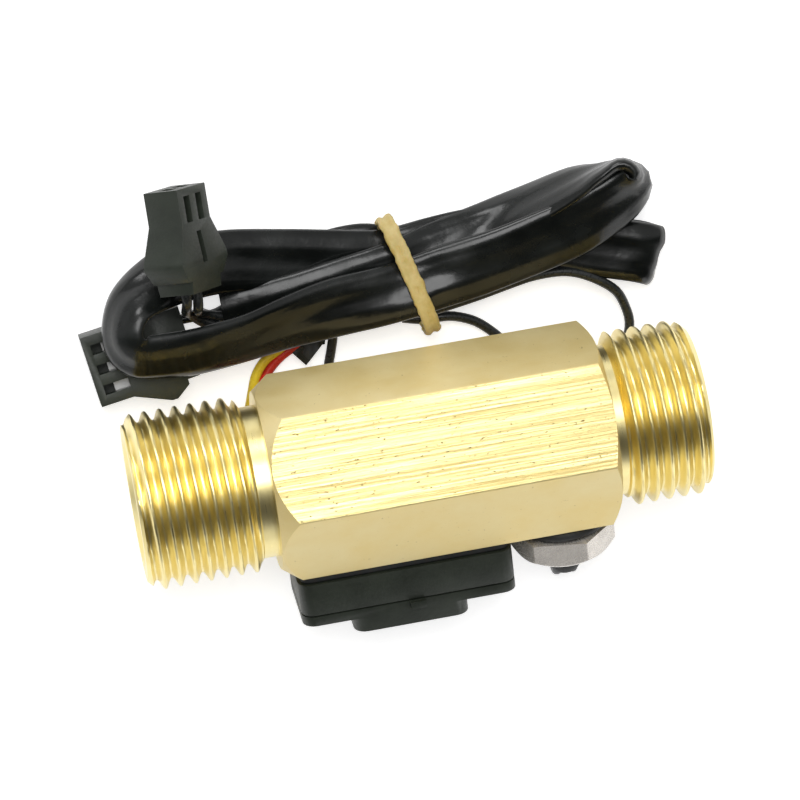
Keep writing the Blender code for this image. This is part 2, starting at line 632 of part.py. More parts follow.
def make_lid(parent, surface):
    plate = prism(housing_outline(), LID_BASE, LID_FACE)
    boss = prism(rounded_rectangle(BOSS_LENGTH, HOUSING_WIDTH, HOUSING_CORNER, (SENSOR_CENTRE, 0)),
                 LID_BASE + LID_THICKNESS / 2, BOSS_FACE)
    walls = 2 * LID_THICKNESS
    inside = rounded_rectangle(BOSS_LENGTH - walls, HOUSING_WIDTH - walls, MM, (SENSOR_CENTRE, 0))
    hollow = prism(inside, LID_BASE - MM, BOSS_FACE - LID_THICKNESS)
    tab_x = SENSOR_CENTRE + 0.9 * MM
    tab = block((tab_x - 0.95 * MM, HOUSING_WIDTH / 2 - 0.5 * MM, LID_BASE + 0.1 * MM),
                (tab_x + 0.95 * MM, HOUSING_WIDTH / 2 + 0.45 * MM, LID_BASE + 1.0 * MM))
    steps = [("UNION", boss), ("DIFFERENCE", hollow), ("UNION", tab)]
    for x in screw_places():
        steps.append(("DIFFERENCE", rod(x, 0, LID_BASE - MM, LID_FACE + MM, SCREW_DIAMETER / 2 + SEAT_GAP)))
        steps.append(("DIFFERENCE", rod(x, 0, LID_FACE - SCREW_SINK, LID_FACE + MM,
                                        SCREW_HEAD_DIAMETER / 2 + SEAT_GAP)))
    combine(add_solid("sensor_lid", plate, surface, parent), steps)


# Pan-head screw with a cross recess, standing on z = 0 with its shank below.
def make_screws(parent, surface):
    radius = SCREW_HEAD_DIAMETER / 2
    length = SCREW_SEAT - SCREW_TIP
    profile = [(0, -length), (SCREW_DIAMETER / 2 - 0.3 * MM, -length),
               (SCREW_DIAMETER / 2, 0.4 * MM - length), (SCREW_DIAMETER / 2, 0), (radius, 0),
               (radius, 0.4 * SCREW_HEAD_HEIGHT), (0.8 * radius, 0.85 * SCREW_HEAD_HEIGHT),
               (0.45 * radius, SCREW_HEAD_HEIGHT), (0, SCREW_HEAD_HEIGHT)]
    arm, blade = 1.0 * MM, 0.22 * MM
    bottom = SCREW_HEAD_HEIGHT - 0.6 * MM
    for name, x in zip(("lid_screw_left", "lid_screw_right"), screw_places()):
        screw = add_solid(name, lathe(profile, SMALL_SIDES), surface, parent)
        combine(screw, [("DIFFERENCE", block((-arm, -blade, bottom), (arm, blade, 2 * MM))),
                        ("DIFFERENCE", block((-blade, -arm, bottom), (blade, arm, 2 * MM)))])
        screw.location = (x, 0, SCREW_SEAT)


def make_electronics(parent, surfaces):
    board = block((SENSOR_CENTRE - BOARD_LENGTH / 2, -BOARD_WIDTH / 2, BOARD_BASE),
                  (SENSOR_CENTRE + BOARD_LENGTH / 2, BOARD_WIDTH / 2, BOARD_BASE + BOARD_THICKNESS))
    add_solid("circuit_board", board, surfaces["board"], parent)
    top = BOARD_BASE + BOARD_THICKNESS + SEAT_GAP

    chip_low = NOSE_BASE + 0.4 * MM + SEAT_GAP
    chip_high = chip_low + 2.6 * MM
    chip = add_solid("hall_chip", block((SENSOR_CENTRE - 1.9 * MM, -1.0 * MM, chip_low),
                                        (SENSOR_CENTRE + 1.9 * MM, 0.5 * MM, chip_high)),
                     surfaces["plastic"], parent)
    lead, row = 0.2 * MM, -0.3 * MM
    steps = []
    for k in (-1, 0, 1):
        x = SENSOR_CENTRE + k * 1.27 * MM
        steps.append(("UNION", block((x - lead, row - lead, chip_high - lead),
                                     (x + lead, row + lead, BOARD_BASE - SEAT_GAP))))
    combine(chip, steps)

    room = BOSS_LENGTH / 2 - LID_THICKNESS - COMPONENT_GAP
    radius = 1.7 * MM
    profile = [(0, 0), (radius, 0), (radius, 1.5 * MM), (1.5 * MM, 1.8 * MM), (0, 1.8 * MM)]
    can = moved(lathe(profile, 20), (SENSOR_CENTRE + room - radius, 1.6 * MM, top))
    add_solid("board_capacitor", can, surfaces["metal"], parent)

    for k in range(2):
        x = SENSOR_CENTRE - room + (0.6 + 2.6 * k) * MM
        part = block((x - 0.6 * MM, -3.2 * MM, top), (x + 0.6 * MM, -1.2 * MM, top + 0.55 * MM))
        add_solid(f"board_resistor_{k + 1}", part, surfaces["plastic"], parent)


def make_grommet(parent, surface):
    gap = SEAT_GAP
    outside = -HOUSING_WIDTH / 2
    x0, x1 = GROMMET_X[0] + gap, GROMMET_X[1] - gap
    z0, z1 = GROMMET_Z[0] + gap, GROMMET_Z[1] - gap
    plug = block((x0, outside + GROMMET_RECESS, z0), (x1, outside + HOUSING_WALL + 0.3 * MM, z1))
    add_solid("wire_grommet", plug, surface, parent)


# The probe's stem and tip are one turned piece with its hexagon head, closed at the tip.
def make_probe(parent, surfaces):
    head_corner = PROBE_HEX / math.sqrt(3)
    stem = PROBE_THREAD_DIAMETER / 2
    tip = PROBE_TIP_DIAMETER / 2
    head = prism(polygon(6, PROBE_HEX, math.pi / 6 + math.pi / 2 + PROBE_TURN), PROBE_BASE, PROBE_TOP)
    rim = 0.44 * PROBE_HEX
    slope = math.tan(math.radians(35))
    blank = lathe([(0, PROBE_BASE - MM), (head_corner + MM, PROBE_BASE - MM),
                   (head_corner + MM, PROBE_TOP - (head_corner + MM - rim) * slope),
                   (rim - MM / slope, PROBE_TOP + MM), (0, PROBE_TOP + MM)], 36)
    shank = lathe([(0, PROBE_TIP), (0.6 * tip, PROBE_TIP), (tip, PROBE_TIP + 0.5 * MM),
                   (tip, OUTLET_RADIUS - 0.3 * MM), (stem - 0.5 * MM, OUTLET_RADIUS),
                   (stem, OUTLET_RADIUS + 0.6 * MM), (stem, PROBE_BASE + MM), (0, PROBE_BASE + MM)], 32)
    hollow = lathe([(0, PROBE_TIP + 0.8 * MM), (PROBE_TIP_BORE / 2, PROBE_TIP + 0.8 * MM),
                    (PROBE_TIP_BORE / 2, PROBE_BASE), (PROBE_WELL_RADIUS, PROBE_BASE),
                    (PROBE_WELL_RADIUS, PROBE_TOP + 2 * MM), (0, PROBE_TOP + 2 * MM)], SMALL_SIDES)
    fitting = combine(add_solid("probe_fitting", head, surfaces["nickel"], parent),
                      [("INTERSECT", blank), ("UNION", shank), ("DIFFERENCE", hollow)])
    fitting.location = (PROBE_POSITION, 0, 0)

    ring_radius = stem + 0.95 * MM
    section = (PROBE_STANDOFF - 2 * SEAT_GAP) / 2
    middle = FACE_HEIGHT + PROBE_STANDOFF / 2
    circle = [(ring_radius + section * math.cos(2 * math.pi * k / 8),
               middle + section * math.sin(2 * math.pi * k / 8)) for k in range(8)]
    seal = add_solid("probe_o_ring", lathe(circle, 28, closed=True), surfaces["rubber"], parent, 60)
    seal.location = (PROBE_POSITION, 0, 0)

    bead_low = PROBE_TIP + 1.1 * MM
    bead_profile = [(across * BEAD_RADIUS, bead_low + along * BEAD_LENGTH)
                    for across, along in ((0, 0), (0.75, 0.125), (1, 0.5), (0.75, 0.875), (0, 1))]
    bead = add_solid("thermistor_bead", lathe(bead_profile, 16), surfaces["glass"], parent)
    bead.location = (PROBE_POSITION, 0, 0)

    plug_low = bead_low + BEAD_LENGTH + SEAT_GAP
    narrow = PROBE_TIP_BORE / 2 - SEAT_GAP
    wide = PROBE_WELL_RADIUS - SEAT_GAP
    potting_profile = [(0, plug_low), (narrow, plug_low), (narrow, PROBE_BASE + SEAT_GAP),
                       (wide, PROBE_BASE + SEAT_GAP), (wide, PROBE_TOP + POTTING_RISE / 3),
                       (wide - POTTING_BEVEL, PROBE_TOP + POTTING_RISE), (0, PROBE_TOP + POTTING_RISE)]
    potting = add_solid("probe_potting", lathe(potting_profile, SMALL_SIDES), surfaces["rubber"], parent)
    potting.location = (PROBE_POSITION, 0, 0)


PLUG_LENGTH = 12.2 * MM
PLUG_NOSE_LENGTH = 4.0 * MM
PLUG_FLARE_LENGTH = 4.2 * MM
PLUG_NOSE_THICKNESS = 4.6 * MM
PLUG_BODY_THICKNESS = 5.4 * MM
PLUG_SIDE = 1.8 * MM
PLUG_FLARE = 1.8 * MM


# A wire-to-wire plug along its own X, mating face at x = 0, contact windows on +Z.
def make_plug(name, pins, surface, parent):
    nose = (PLUG_SIDE * 2 + PIN_PITCH * (pins - 1)) / 2
    wide = nose + PLUG_FLARE
    x1, x2 = PLUG_NOSE_LENGTH, PLUG_NOSE_LENGTH + PLUG_FLARE_LENGTH
    x3, x4 = x2 + 0.7 * MM, x2 + 2.5 * MM
    half = [(0, nose), (x1, nose), (x2, wide), (x3, wide), (x4, nose + PLUG_FLARE / 3), (x4, nose),
            (PLUG_LENGTH, nose)]
    plan = half + [(x, -y) for x, y in reversed(half)]
    low, high = -PLUG_NOSE_THICKNESS / 2, PLUG_NOSE_THICKNESS / 2
    extra = (PLUG_BODY_THICKNESS - PLUG_NOSE_THICKNESS) / 2
    side = [(0, low), (x1, low), (x2, low - extra), (x3, low - extra), (PLUG_LENGTH, low),
            (PLUG_LENGTH, high), (x3, high + extra), (x2, high + extra), (x1, high), (0, high)]
    shape = prism(plan, -5 * MM, 5 * MM)
    profile = turned(prism(side, -9 * MM, 9 * MM), math.pi / 2, "X")
    steps = [("INTERSECT", profile)]
    for pin in range(pins):
        y = PIN_PITCH * (pin - (pins - 1) / 2)
        cell = 0.85 * MM
        steps.append(("DIFFERENCE", block((-MM, y - cell, -cell), (10 * MM, y + cell, cell))))
        steps.append(("DIFFERENCE", block((9.9 * MM, y - 0.75 * MM, -0.75 * MM),
                                          (PLUG_LENGTH + MM, y + 0.75 * MM, 0.75 * MM))))
        steps.append(("DIFFERENCE", block((0.9 * MM, y - 0.6 * MM, cell - 0.2 * MM),
                                          (x1, y + 0.6 * MM, 5 * MM))))
    slot = block((x1 + 1.2 * MM, -0.45 * MM, high - 0.5 * MM), (x3, 0.45 * MM, 5 * MM))
    steps.append(("DIFFERENCE", slot))
    return combine(add_solid(name, shape, surface, parent), steps)


# Crimped contacts, one in each cell of the plug: a boxed mouth and a narrower barrel behind it.
def make_contacts(name, pins, surface, parent):
    for pin in range(pins):
        y = PIN_PITCH * (pin - (pins - 1) / 2)
        mouth = 0.62 * MM
        outline = [(2.2 * MM, y - mouth), (6.4 * MM, y - mouth), (7.0 * MM, y - 0.4 * MM),
                   (9.6 * MM, y - 0.4 * MM), (9.6 * MM, y + 0.4 * MM), (7.0 * MM, y + 0.4 * MM),
                   (6.4 * MM, y + mouth), (2.2 * MM, y + mouth)]
        add_solid(f"{name}_{pin + 1}", prism(outline, -mouth, mouth), surface, parent)


def hall_wire_routes():
    mouth = -HOUSING_WIDTH / 2 + GROMMET_RECESS - CORD_GAP
    level = (GROMMET_Z[0] + GROMMET_Z[1]) / 2
    exits = [[from_sensor(CABLE_EXIT + 1.5 * k * MM, mouth - out, level) for out in (0, 0.45 * MM)]
             for k in (-1, 0, 1)]

    # A point as in lying(), with x from the middle of the opening.
    def below(x, y, z):
        return lying(x + CABLE_EXIT / MM, y, z)

    black = exits[2] + [
        below(1.45, -10.15, 1.05), below(1.25, -9.3, 0.7), below(0.2, -7.6, 0.63),
        below(-1.4, -6.5, 0.63), below(-3.7, -6.1, 0.63), lying(-17.2, -5.3, 0.63),
        lying(-18.4, -3.4, 0.63), lying(-18.45, 0.0, 0.63), lying(-18.3, 3.0, 0.63),
        lying(-17.4, 5.6, 0.63), lying(-15.4, 6.9, 0.63), lying(-12.6, 7.2, 0.63),
        lying(-10.2, 7.9, 0.63), lying(-8.6, 9.5, 0.63), lying(-7.7, 11.5, 0.7), lying(-7.4, 13.2, 0.8)]
    yellow = exits[0] + [
        below(-1.55, -10.15, 1.05), below(-1.85, -9.45, 0.72), below(-2.8, -9.0, 0.63),
        lying(-16.4, -8.8, 0.63), lying(-18.2, -8.1, 0.63), lying(-19.5, -6.4, 0.63),
        lying(-19.95, -3.5, 0.63), lying(-19.95, 1.0, 0.63), lying(-19.7, 4.6, 0.63),
        lying(-18.7, 7.6, 0.63), lying(-17.6, 9.7, 0.63), lying(-16.5, 11.3, 0.65),
        lying(-15.3, 12.7, 0.8)]
    red = exits[1] + [
        below(-0.05, -10.15, 1.05), below(-0.3, -9.2, 0.7), below(-1.3, -8.1, 0.63),
        below(-3.1, -7.55, 0.63), lying(-16.8, -7.1, 0.65), lying(-18.3, -5.9, 1.0),
        lying(-19.05, -4.4, 1.7), lying(-19.15, -2.6, 1.92), lying(-19.15, 0.5, 1.9),
        lying(-18.95, 3.5, 1.9),
        lying(-18.1, 6.6, 1.55), lying(-16.7, 8.7, 0.85), lying(-15.1, 10.3, 0.65),
        lying(-13.8, 11.8, 0.7), lying(-12.7, 13.1, 0.8)]
    return {"wire_red": red, "wire_yellow": yellow, "wire_black": black}


def probe_wire_routes():
    top = PROBE_TOP + POTTING_RISE + CORD_GAP
    starts = [from_sensor(PROBE_POSITION + dx, -0.3 * MM, top) for dx in (0.95 * MM, -0.95 * MM)]

    # A point as in lying(), with x from the probe's middle.
    def beside(x, y, z):
        return lying(x + PROBE_POSITION / MM, y, z)

    first = [starts[0], beside(1.0, -17.9, 5.0), beside(1.1, -18.0, 2.8), beside(1.4, -16.5, 1.0),
             beside(2.3, -13.5, 0.63), beside(4.5, -10.5, 0.63), lying(24.0, -7.5, 0.63),
             lying(26.05, -4.0, 0.63), lying(26.05, 1.0, 0.63), lying(26.5, 5.0, 0.63),
             lying(27.9, 7.9, 0.63), lying(28.9, 10.2, 0.63), lying(28.6, 12.2, 0.65),
             lying(27.5, 13.8, 0.8), lying(26.2, 14.8, 1.0), lying(24.9, 15.3, 1.2)]
    second = [starts[1], beside(-0.9, -17.9, 5.0), beside(-0.8, -18.0, 2.8), beside(-0.4, -16.3, 1.0),
              beside(0.7, -13.0, 0.63), beside(3.0, -9.8, 0.63), lying(22.6, -6.8, 0.63),
              lying(24.6, -3.5, 0.63), lying(24.6, 2.0, 0.63), lying(24.1, 5.4, 0.63),
              lying(21.8, 7.2, 0.63), lying(18.2, 7.6, 0.63), lying(15.2, 8.2, 0.63),
              lying(13.0, 9.8, 0.63), lying(11.2, 11.6, 0.7), lying(9.6, 12.8, 1.0), lying(8.3, 13.7, 1.2)]
    return {"probe_wire_a": first, "probe_wire_b": second}


# Outer line of the folded cable, anticlockwise from the left fold.
HANK_OUTLINE = [(-33.4, 20.0), (-32.4, 16.4), (-29.6, 14.4), (-23.0, 13.9), (-15.0, 14.3), (-7.0, 15.0),
                (0.0, 15.1), (6.0, 15.0), (13.0, 16.0), (20.0, 17.2), (25.0, 16.6), (29.0, 15.0),
                (32.6, 15.6), (34.6, 18.6), (34.9, 24.0), (33.9, 28.6), (30.8, 30.9), (25.0, 29.9),
                (17.0, 28.3), (9.0, 27.6), (2.0, 27.9), (-6.0, 28.2), (-14.0, 28.9), (-22.0, 28.6),
                (-28.5, 26.6), (-32.2, 23.6)]
BAND_CENTRE = (4.0, 20.4)
BAND_DIRECTION = Vector((4.5, -14.8)).normalized()
BAND_HALF_LENGTH = 6.7 * MM


# The stadium-shaped loop of the band, as (along, height) points about its own middle.
def band_loop(offset, steps=6):
    low, high = BAND_THICKNESS + 2 * SEAT_GAP, HANK_HEIGHT - 0.2 * MM
    middle, radius = (low + high) / 2, (high - low) / 2 + offset
    straight = BAND_HALF_LENGTH - (high - low) / 2
    points = []
    for side, start in ((1, -math.pi / 2), (-1, math.pi / 2)):
        for step in range(steps + 1):
            angle = start + math.pi * step / steps
            points.append((side * straight + radius * math.cos(angle), middle + radius * math.sin(angle)))
    return points


def band_frame():
    x, y, _ = lying(BAND_CENTRE[0], BAND_CENTRE[1], 0)
    along = Vector((BAND_DIRECTION.x, BAND_DIRECTION.y, 0))
    up = Vector((0, 0, 1))
    across = along.cross(up)
    frame = Matrix((along, up, across)).transposed().to_4x4()
    return Matrix.Translation((x, y, 0)) @ frame


def placed(shape, frame):
    bmesh.ops.transform(shape, matrix=frame, verts=shape.verts)
    return shape


def make_band(surface):
    half = BAND_WIDTH / 2
    ring = add_solid("rubber_band", placed(prism(band_loop(SEAT_GAP + BAND_THICKNESS), -half, half),
                                           band_frame()), surface)
    combine(ring, [("DIFFERENCE", placed(prism(band_loop(SEAT_GAP), -2 * half, 2 * half), band_frame()))])


def make_hank(surface):
    line = [(point.x, point.y) for point in smooth_route(
        [lying(x, y, 0) for x, y in HANK_OUTLINE], 3.2 * MM, closed=True)]
    hank = add_solid("cable_hank", prism(line, 0.0, HANK_HEIGHT), surface)
    half = BAND_WIDTH / 2 + SEAT_GAP
    reach = 14 * MM
    slab = prism([(-reach, -5 * MM), (reach, -5 * MM), (reach, 15 * MM), (-reach, 15 * MM)], -half, half)
    waist = add_solid("waist", placed(slab, band_frame()))
    combine(waist, [("DIFFERENCE", placed(prism(band_loop(0.0), -2 * half, 2 * half), band_frame()))])
    groove = bmesh.new()
    groove.from_mesh(waist.data)
    bpy.data.objects.remove(waist, do_unlink=True)
    steps = [("DIFFERENCE", groove)]
    rest = Matrix.Translation(lying(*FLOW_PLUG_PLACE)) @ Matrix.Rotation(FLOW_PLUG_TURN, 4, "Z")
    wide = PLUG_SIDE + PIN_PITCH + PLUG_FLARE + CORD_GAP
    room = block((-5 * MM, -wide, -9 * MM), (PLUG_LENGTH + 7 * MM, wide, PLUG_BODY_THICKNESS / 2 + CORD_GAP))
    steps.append(("DIFFERENCE", placed(room, rest)))
    combine(hank, steps)


FLOW_PLUG_PLACE = (-36.0, 15.2, PLUG_BODY_THICKNESS / 2 / MM)
FLOW_PLUG_TURN = math.radians(8.5)
PROBE_PLUG_PLACE = (-23.2, 35.8, HANK_HEIGHT / MM + 5.9)
PROBE_PLUG_TURN = math.radians(-90)
PROBE_PLUG_ROLL = math.radians(-53)


def make_plugs(surfaces):
    flow = add_empty("flow_plug_place", lying(*FLOW_PLUG_PLACE), (0, 0, FLOW_PLUG_TURN))
    make_plug("flow_plug", 3, surfaces["plastic"], flow)
    make_contacts("flow_plug_contact", 3, surfaces["metal"], flow)
    probe = add_empty("probe_plug_place", lying(*PROBE_PLUG_PLACE), (PROBE_PLUG_ROLL, 0, PROBE_PLUG_TURN))
    make_plug("probe_plug", 2, surfaces["plastic"], probe)
    make_contacts("probe_plug_contact", 2, surfaces["metal"], probe)


def make_plug_wires(surface):
    turn = Matrix.Translation(lying(*FLOW_PLUG_PLACE)) @ Matrix.Rotation(FLOW_PLUG_TURN, 4, "Z")
    for pin in range(3):
        y = PIN_PITCH * (pin - 1)
        start = turn @ Vector((PLUG_LENGTH + CORD_GAP, y, 0))
        end = turn @ Vector((PLUG_LENGTH + 6.5 * MM, y * 0.6, -1.2 * MM))
        route = [start, start.lerp(end, 0.5) + Vector((0, 0, 0.4 * MM)), end]
        add_tube(f"flow_plug_wire_{pin + 1}", route, WIRE_DIAMETER, surface, 3 * MM)


def main():
    clear_scene()
    black = finish("black_moulding", (0.022, 0.024, 0.022), 0.42)
    surfaces = {
        "brass": finish("turned_brass", (0.80, 0.62, 0.28), 0.28, 1.0),
        "plastic": black,
        "rotor": finish("rotor_moulding", (0.75, 0.76, 0.72), 0.5),
        "bearing": finish("bearing_moulding", (0.85, 0.84, 0.78), 0.45),
        "magnet": finish("ferrite_magnet", (0.06, 0.06, 0.065), 0.6, 0.2),
        "steel": finish("stainless_steel", (0.62, 0.62, 0.63), 0.25, 1.0),
        "nickel": finish("nickel_plate", (0.66, 0.64, 0.60), 0.22, 1.0),
        "metal": finish("tinned_metal", (0.78, 0.78, 0.76), 0.3, 1.0),
        "rubber": finish("black_rubber", (0.02, 0.02, 0.02), 0.7),
        "glass": finish("bead_glass", (0.25, 0.18, 0.08), 0.15),
        "board": finish("board_laminate", (0.03, 0.18, 0.06), 0.5),
        "sleeve": finish("cable_sleeve", (0.015, 0.017, 0.016), 0.2),
        "band": finish("latex_band", (0.62, 0.50, 0.20), 0.6),
        "red": finish("red_wire", (0.55, 0.03, 0.02), 0.4),
        "yellow": finish("yellow_wire", (0.85, 0.62, 0.03), 0.4),
    }
    axis = add_empty("flow_axis", (0, AXIS_Y, AXIS_HEIGHT), (ROLL, 0, 0))
    spin = add_empty("rotor_axis", (0, 0, 0), parent=axis)

    make_brass_body(axis, surfaces["brass"])
    make_turbine(axis, spin, surfaces)
    make_retaining_ring(axis, surfaces["steel"])
    make_gasket(axis, surfaces["rubber"])
    make_housing(axis, surfaces["plastic"])
    make_lid(axis, surfaces["plastic"])
    make_screws(axis, surfaces["steel"])
    make_electronics(axis, surfaces)
    make_grommet(axis, surfaces["rubber"])
    make_probe(axis, surfaces)

    wire_surfaces = {"wire_red": surfaces["red"], "wire_yellow": surfaces["yellow"],
                     "wire_black": surfaces["rubber"]}
    for name, route in {**hall_wire_routes(), **probe_wire_routes()}.items():
        add_tube(name, route, WIRE_DIAMETER, wire_surfaces.get(name, surfaces["rubber"]), 2.0 * MM)
    make_hank(surfaces["sleeve"])
    make_band(surfaces["band"])
    make_plugs(surfaces)
    make_plug_wires(surfaces["rubber"])


main()
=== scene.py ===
# Looks of the brass water flow sensor: pipe threads, streaked hexagon, pick-up housing, probe,
# flattened cable sleeves held in an elastic band, and the two plugs.

import json
import math

import bmesh
import bpy
from mathutils import Matrix, Vector, noise


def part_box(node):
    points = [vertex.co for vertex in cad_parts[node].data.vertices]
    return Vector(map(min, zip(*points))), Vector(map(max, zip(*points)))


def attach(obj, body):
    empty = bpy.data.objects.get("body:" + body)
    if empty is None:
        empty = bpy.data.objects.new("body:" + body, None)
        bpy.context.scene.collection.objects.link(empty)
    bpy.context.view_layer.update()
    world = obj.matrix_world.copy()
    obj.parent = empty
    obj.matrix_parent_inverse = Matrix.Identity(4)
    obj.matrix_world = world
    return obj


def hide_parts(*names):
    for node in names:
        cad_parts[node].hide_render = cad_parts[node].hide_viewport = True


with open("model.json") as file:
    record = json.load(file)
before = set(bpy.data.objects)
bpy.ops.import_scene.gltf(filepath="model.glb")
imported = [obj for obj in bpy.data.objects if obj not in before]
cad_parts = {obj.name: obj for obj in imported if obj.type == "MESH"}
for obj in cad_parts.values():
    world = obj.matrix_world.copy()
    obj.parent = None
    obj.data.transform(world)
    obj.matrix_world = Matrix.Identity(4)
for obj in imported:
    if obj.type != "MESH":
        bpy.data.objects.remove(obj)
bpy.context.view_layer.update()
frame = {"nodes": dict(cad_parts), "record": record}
mm = 0.001
shell = "sensor_body"
turbine = "turbine"
nodes = frame["nodes"]

# The flow axis and the sensor's turn about it come from the frame.
bodyLow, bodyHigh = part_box("brass_body")
axisY = (bodyLow.y + bodyHigh.y) / 2
axisZ = (bodyLow.z + bodyHigh.z) / 2
wrenchFlat = next(m for m in frame["record"]["mounts"] if m["name"] == "wrench_flat")
faceTurn = math.atan2(wrenchFlat["axis"][2], wrenchFlat["axis"][1]) + math.radians(30)
sensorFrame = Matrix.Translation((0, axisY, axisZ)) @ Matrix.Rotation(faceTurn, 4, "X")


# A point in mm: x along the flow, y from the flow axis, z above the floor.
def lying(x, y, z):
    return Vector((x * mm, axisY + y * mm, z * mm))


# Adds a node, with its settings by name and its inputs in order: a value, another node's socket or None.
def addNode(tree, kind, *sources, **settings):
    node = tree.nodes.new(kind)
    for label, setting in settings.items():
        setattr(node, label, setting)
    for position, source in enumerate(sources):
        if source is not None:
            putIn(tree, node, position, source)
    return node


def putIn(tree, node, socket, source):
    if isinstance(source, bpy.types.NodeSocket):
        tree.links.new(source, node.inputs[socket])
    else:
        node.inputs[socket].default_value = source


# Camera, fitted to the photograph's edges

camera = {
    "yaw": 6.13,
    "tilt": 8.29,
    "roll": -9.03,
    "distance": 475.3 * mm,
    "aim": (-0.95 * mm, 6.66 * mm),  # from the flow axis
    "lens": 181.7,
    "sensor": 36.0,
    "clipStart": 0.01,
}


def placeCamera():
    yaw, tilt, roll = (math.radians(camera[k]) for k in ("yaw", "tilt", "roll"))
    back = Vector((-math.sin(yaw) * math.cos(tilt), math.sin(tilt), math.cos(yaw) * math.cos(tilt)))
    right = Vector((0, 1, 0)).cross(back).normalized()
    up = back.cross(right)
    turnedRight = right * math.cos(roll) + up * math.sin(roll)
    turnedUp = up * math.cos(roll) - right * math.sin(roll)
    aim = Vector((camera["aim"][0], axisY + camera["aim"][1], axisZ))
    data = bpy.data.cameras.new("camera")
    data.lens = camera["lens"]
    data.sensor_width = camera["sensor"]
    data.clip_start = camera["clipStart"]
    holder = bpy.data.objects.new("camera", data)
    bpy.context.scene.collection.objects.link(holder)
    turn = Matrix((turnedRight, turnedUp, back)).transposed().to_4x4()
    holder.matrix_world = Matrix.Translation(aim + back * camera["distance"]) @ turn
    bpy.context.scene.camera = holder


# Lights and floor

studio = {
    "floorSize": 3.0,
    "floorColour": 0.86,
    "floorRoughness": 0.9,
    "floorGlow": 0.62,
    "mirroredGlow": 0.75,  # share of that glow that shiny surfaces see
    "diffuseLevel": 0.42,
    "lampsAimAt": (0, 0.01, 0.01),
    # What shiny surfaces mirror, by the angle from overhead in degrees, from the near side to the far.
    "mirrored": [(-90, 0.62), (-74, 0.60), (-58, 0.08), (-18, 0.02), (-4, 0.30), (9, 0.60), (40, 0.58),
                 (60, 0.50), (90, 0.50)],
    "overhead": {"place": (-0.05, 0.22, 0.60), "size": 0.34, "power": 1.7},
    "fill": {"place": (0.30, -0.62, 0.16), "size": 0.5, "power": 0.6},
    "strip": {"place": (-0.10, 0.58, 0.32), "size": 0.24, "power": 1.0},
}


def addLamp(name, place, size, power):
    data = bpy.data.lights.new(name, "AREA")
    data.shape = "DISK"
    data.size = size
    data.energy = power
    lamp = bpy.data.objects.new(name, data)
    bpy.context.scene.collection.objects.link(lamp)
    lamp.location = place
    aim = Vector(studio["lampsAimAt"]) - Vector(place)
    lamp.rotation_euler = aim.to_track_quat("-Z", "Y").to_euler()


# White where the camera sees it, even for diffuse light, and banded for what metal mirrors: dark
# from the near side's upper half, bright from overhead to the far side.
def buildWorld():
    world = bpy.data.worlds.new("studio")
    bpy.context.scene.world = world
    world.use_nodes = True
    tree = world.node_tree
    tree.nodes.clear()
    place = addNode(tree, "ShaderNodeTexCoord")
    split = addNode(tree, "ShaderNodeSeparateXYZ", place.outputs["Generated"])
    angle = addNode(tree, "ShaderNodeMath", split.outputs["Y"], split.outputs["Z"], operation="ARCTAN2")
    share = addNode(tree, "ShaderNodeMapRange", angle.outputs[0], -math.pi / 2, math.pi / 2)
    bands = addNode(tree, "ShaderNodeValToRGB", share.outputs[0])
    ramp = bands.color_ramp
    ramp.interpolation = "EASE"
    rows = studio["mirrored"]
    while len(ramp.elements) < len(rows):
        ramp.elements.new(0.5)
    for spot, (degrees, level) in zip(ramp.elements, rows):
        spot.position = (degrees + 90) / 180
        spot.color = (level, level, level, 1)
    mirrored = addNode(tree, "ShaderNodeBackground", bands.outputs["Color"])
    even = addNode(tree, "ShaderNodeBackground", None, studio["diffuseLevel"])
    white = addNode(tree, "ShaderNodeBackground")
    seen = addNode(tree, "ShaderNodeLightPath").outputs
    byGloss = addNode(tree, "ShaderNodeMixShader", seen["Is Glossy Ray"], even.outputs[0], mirrored.outputs[0])
    byCamera = addNode(tree, "ShaderNodeMixShader", seen["Is Camera Ray"], byGloss.outputs[0], white.outputs[0])
    addNode(tree, "ShaderNodeOutputWorld", byCamera.outputs[0])


# White to the camera, and nearly so in what metal mirrors, with the object's shadow kept.
def buildFloor():
    half = studio["floorSize"] / 2
    mesh = bpy.data.meshes.new("floor")
    mesh.from_pydata([(-half, -half, 0), (half, -half, 0), (half, half, 0), (-half, half, 0)], [], [(0, 1, 2, 3)])
    floor = bpy.data.objects.new("floor", mesh)
    bpy.context.scene.collection.objects.link(floor)
    paint = startMaterial("floorPaint", (studio["floorColour"],) * 3, studio["floorRoughness"])
    tree = paint.node_tree
    plain = tree.nodes["Principled BSDF"].outputs[0]
    glow = addNode(tree, "ShaderNodeEmission", None, studio["floorGlow"])
    glowing = addNode(tree, "ShaderNodeAddShader", plain, glow.outputs[0])
    seen = addNode(tree, "ShaderNodeLightPath").outputs
    share = addNode(tree, "ShaderNodeMath", seen["Is Glossy Ray"], studio["mirroredGlow"], seen["Is Camera Ray"],
                    operation="MULTIPLY_ADD")
    choose = addNode(tree, "ShaderNodeMixShader", share.outputs[0], plain, glowing.outputs[0])
    tree.links.new(choose.outputs[0], tree.nodes["Material Output"].inputs["Surface"])
    mesh.materials.append(paint)


# Material building blocks

def startMaterial(name, colour, roughness, metallic=0.0, **sockets):
    made = bpy.data.materials.new(name)
    made.use_nodes = True
    made.diffuse_color = (*colour, 1)
    shader = made.node_tree.nodes["Principled BSDF"]
    shader.inputs["Base Color"].default_value = (*colour, 1)
    shader.inputs["Roughness"].default_value = roughness
    shader.inputs["Metallic"].default_value = metallic
    for label, value in sockets.items():
        shader.inputs[label].default_value = value
    return made


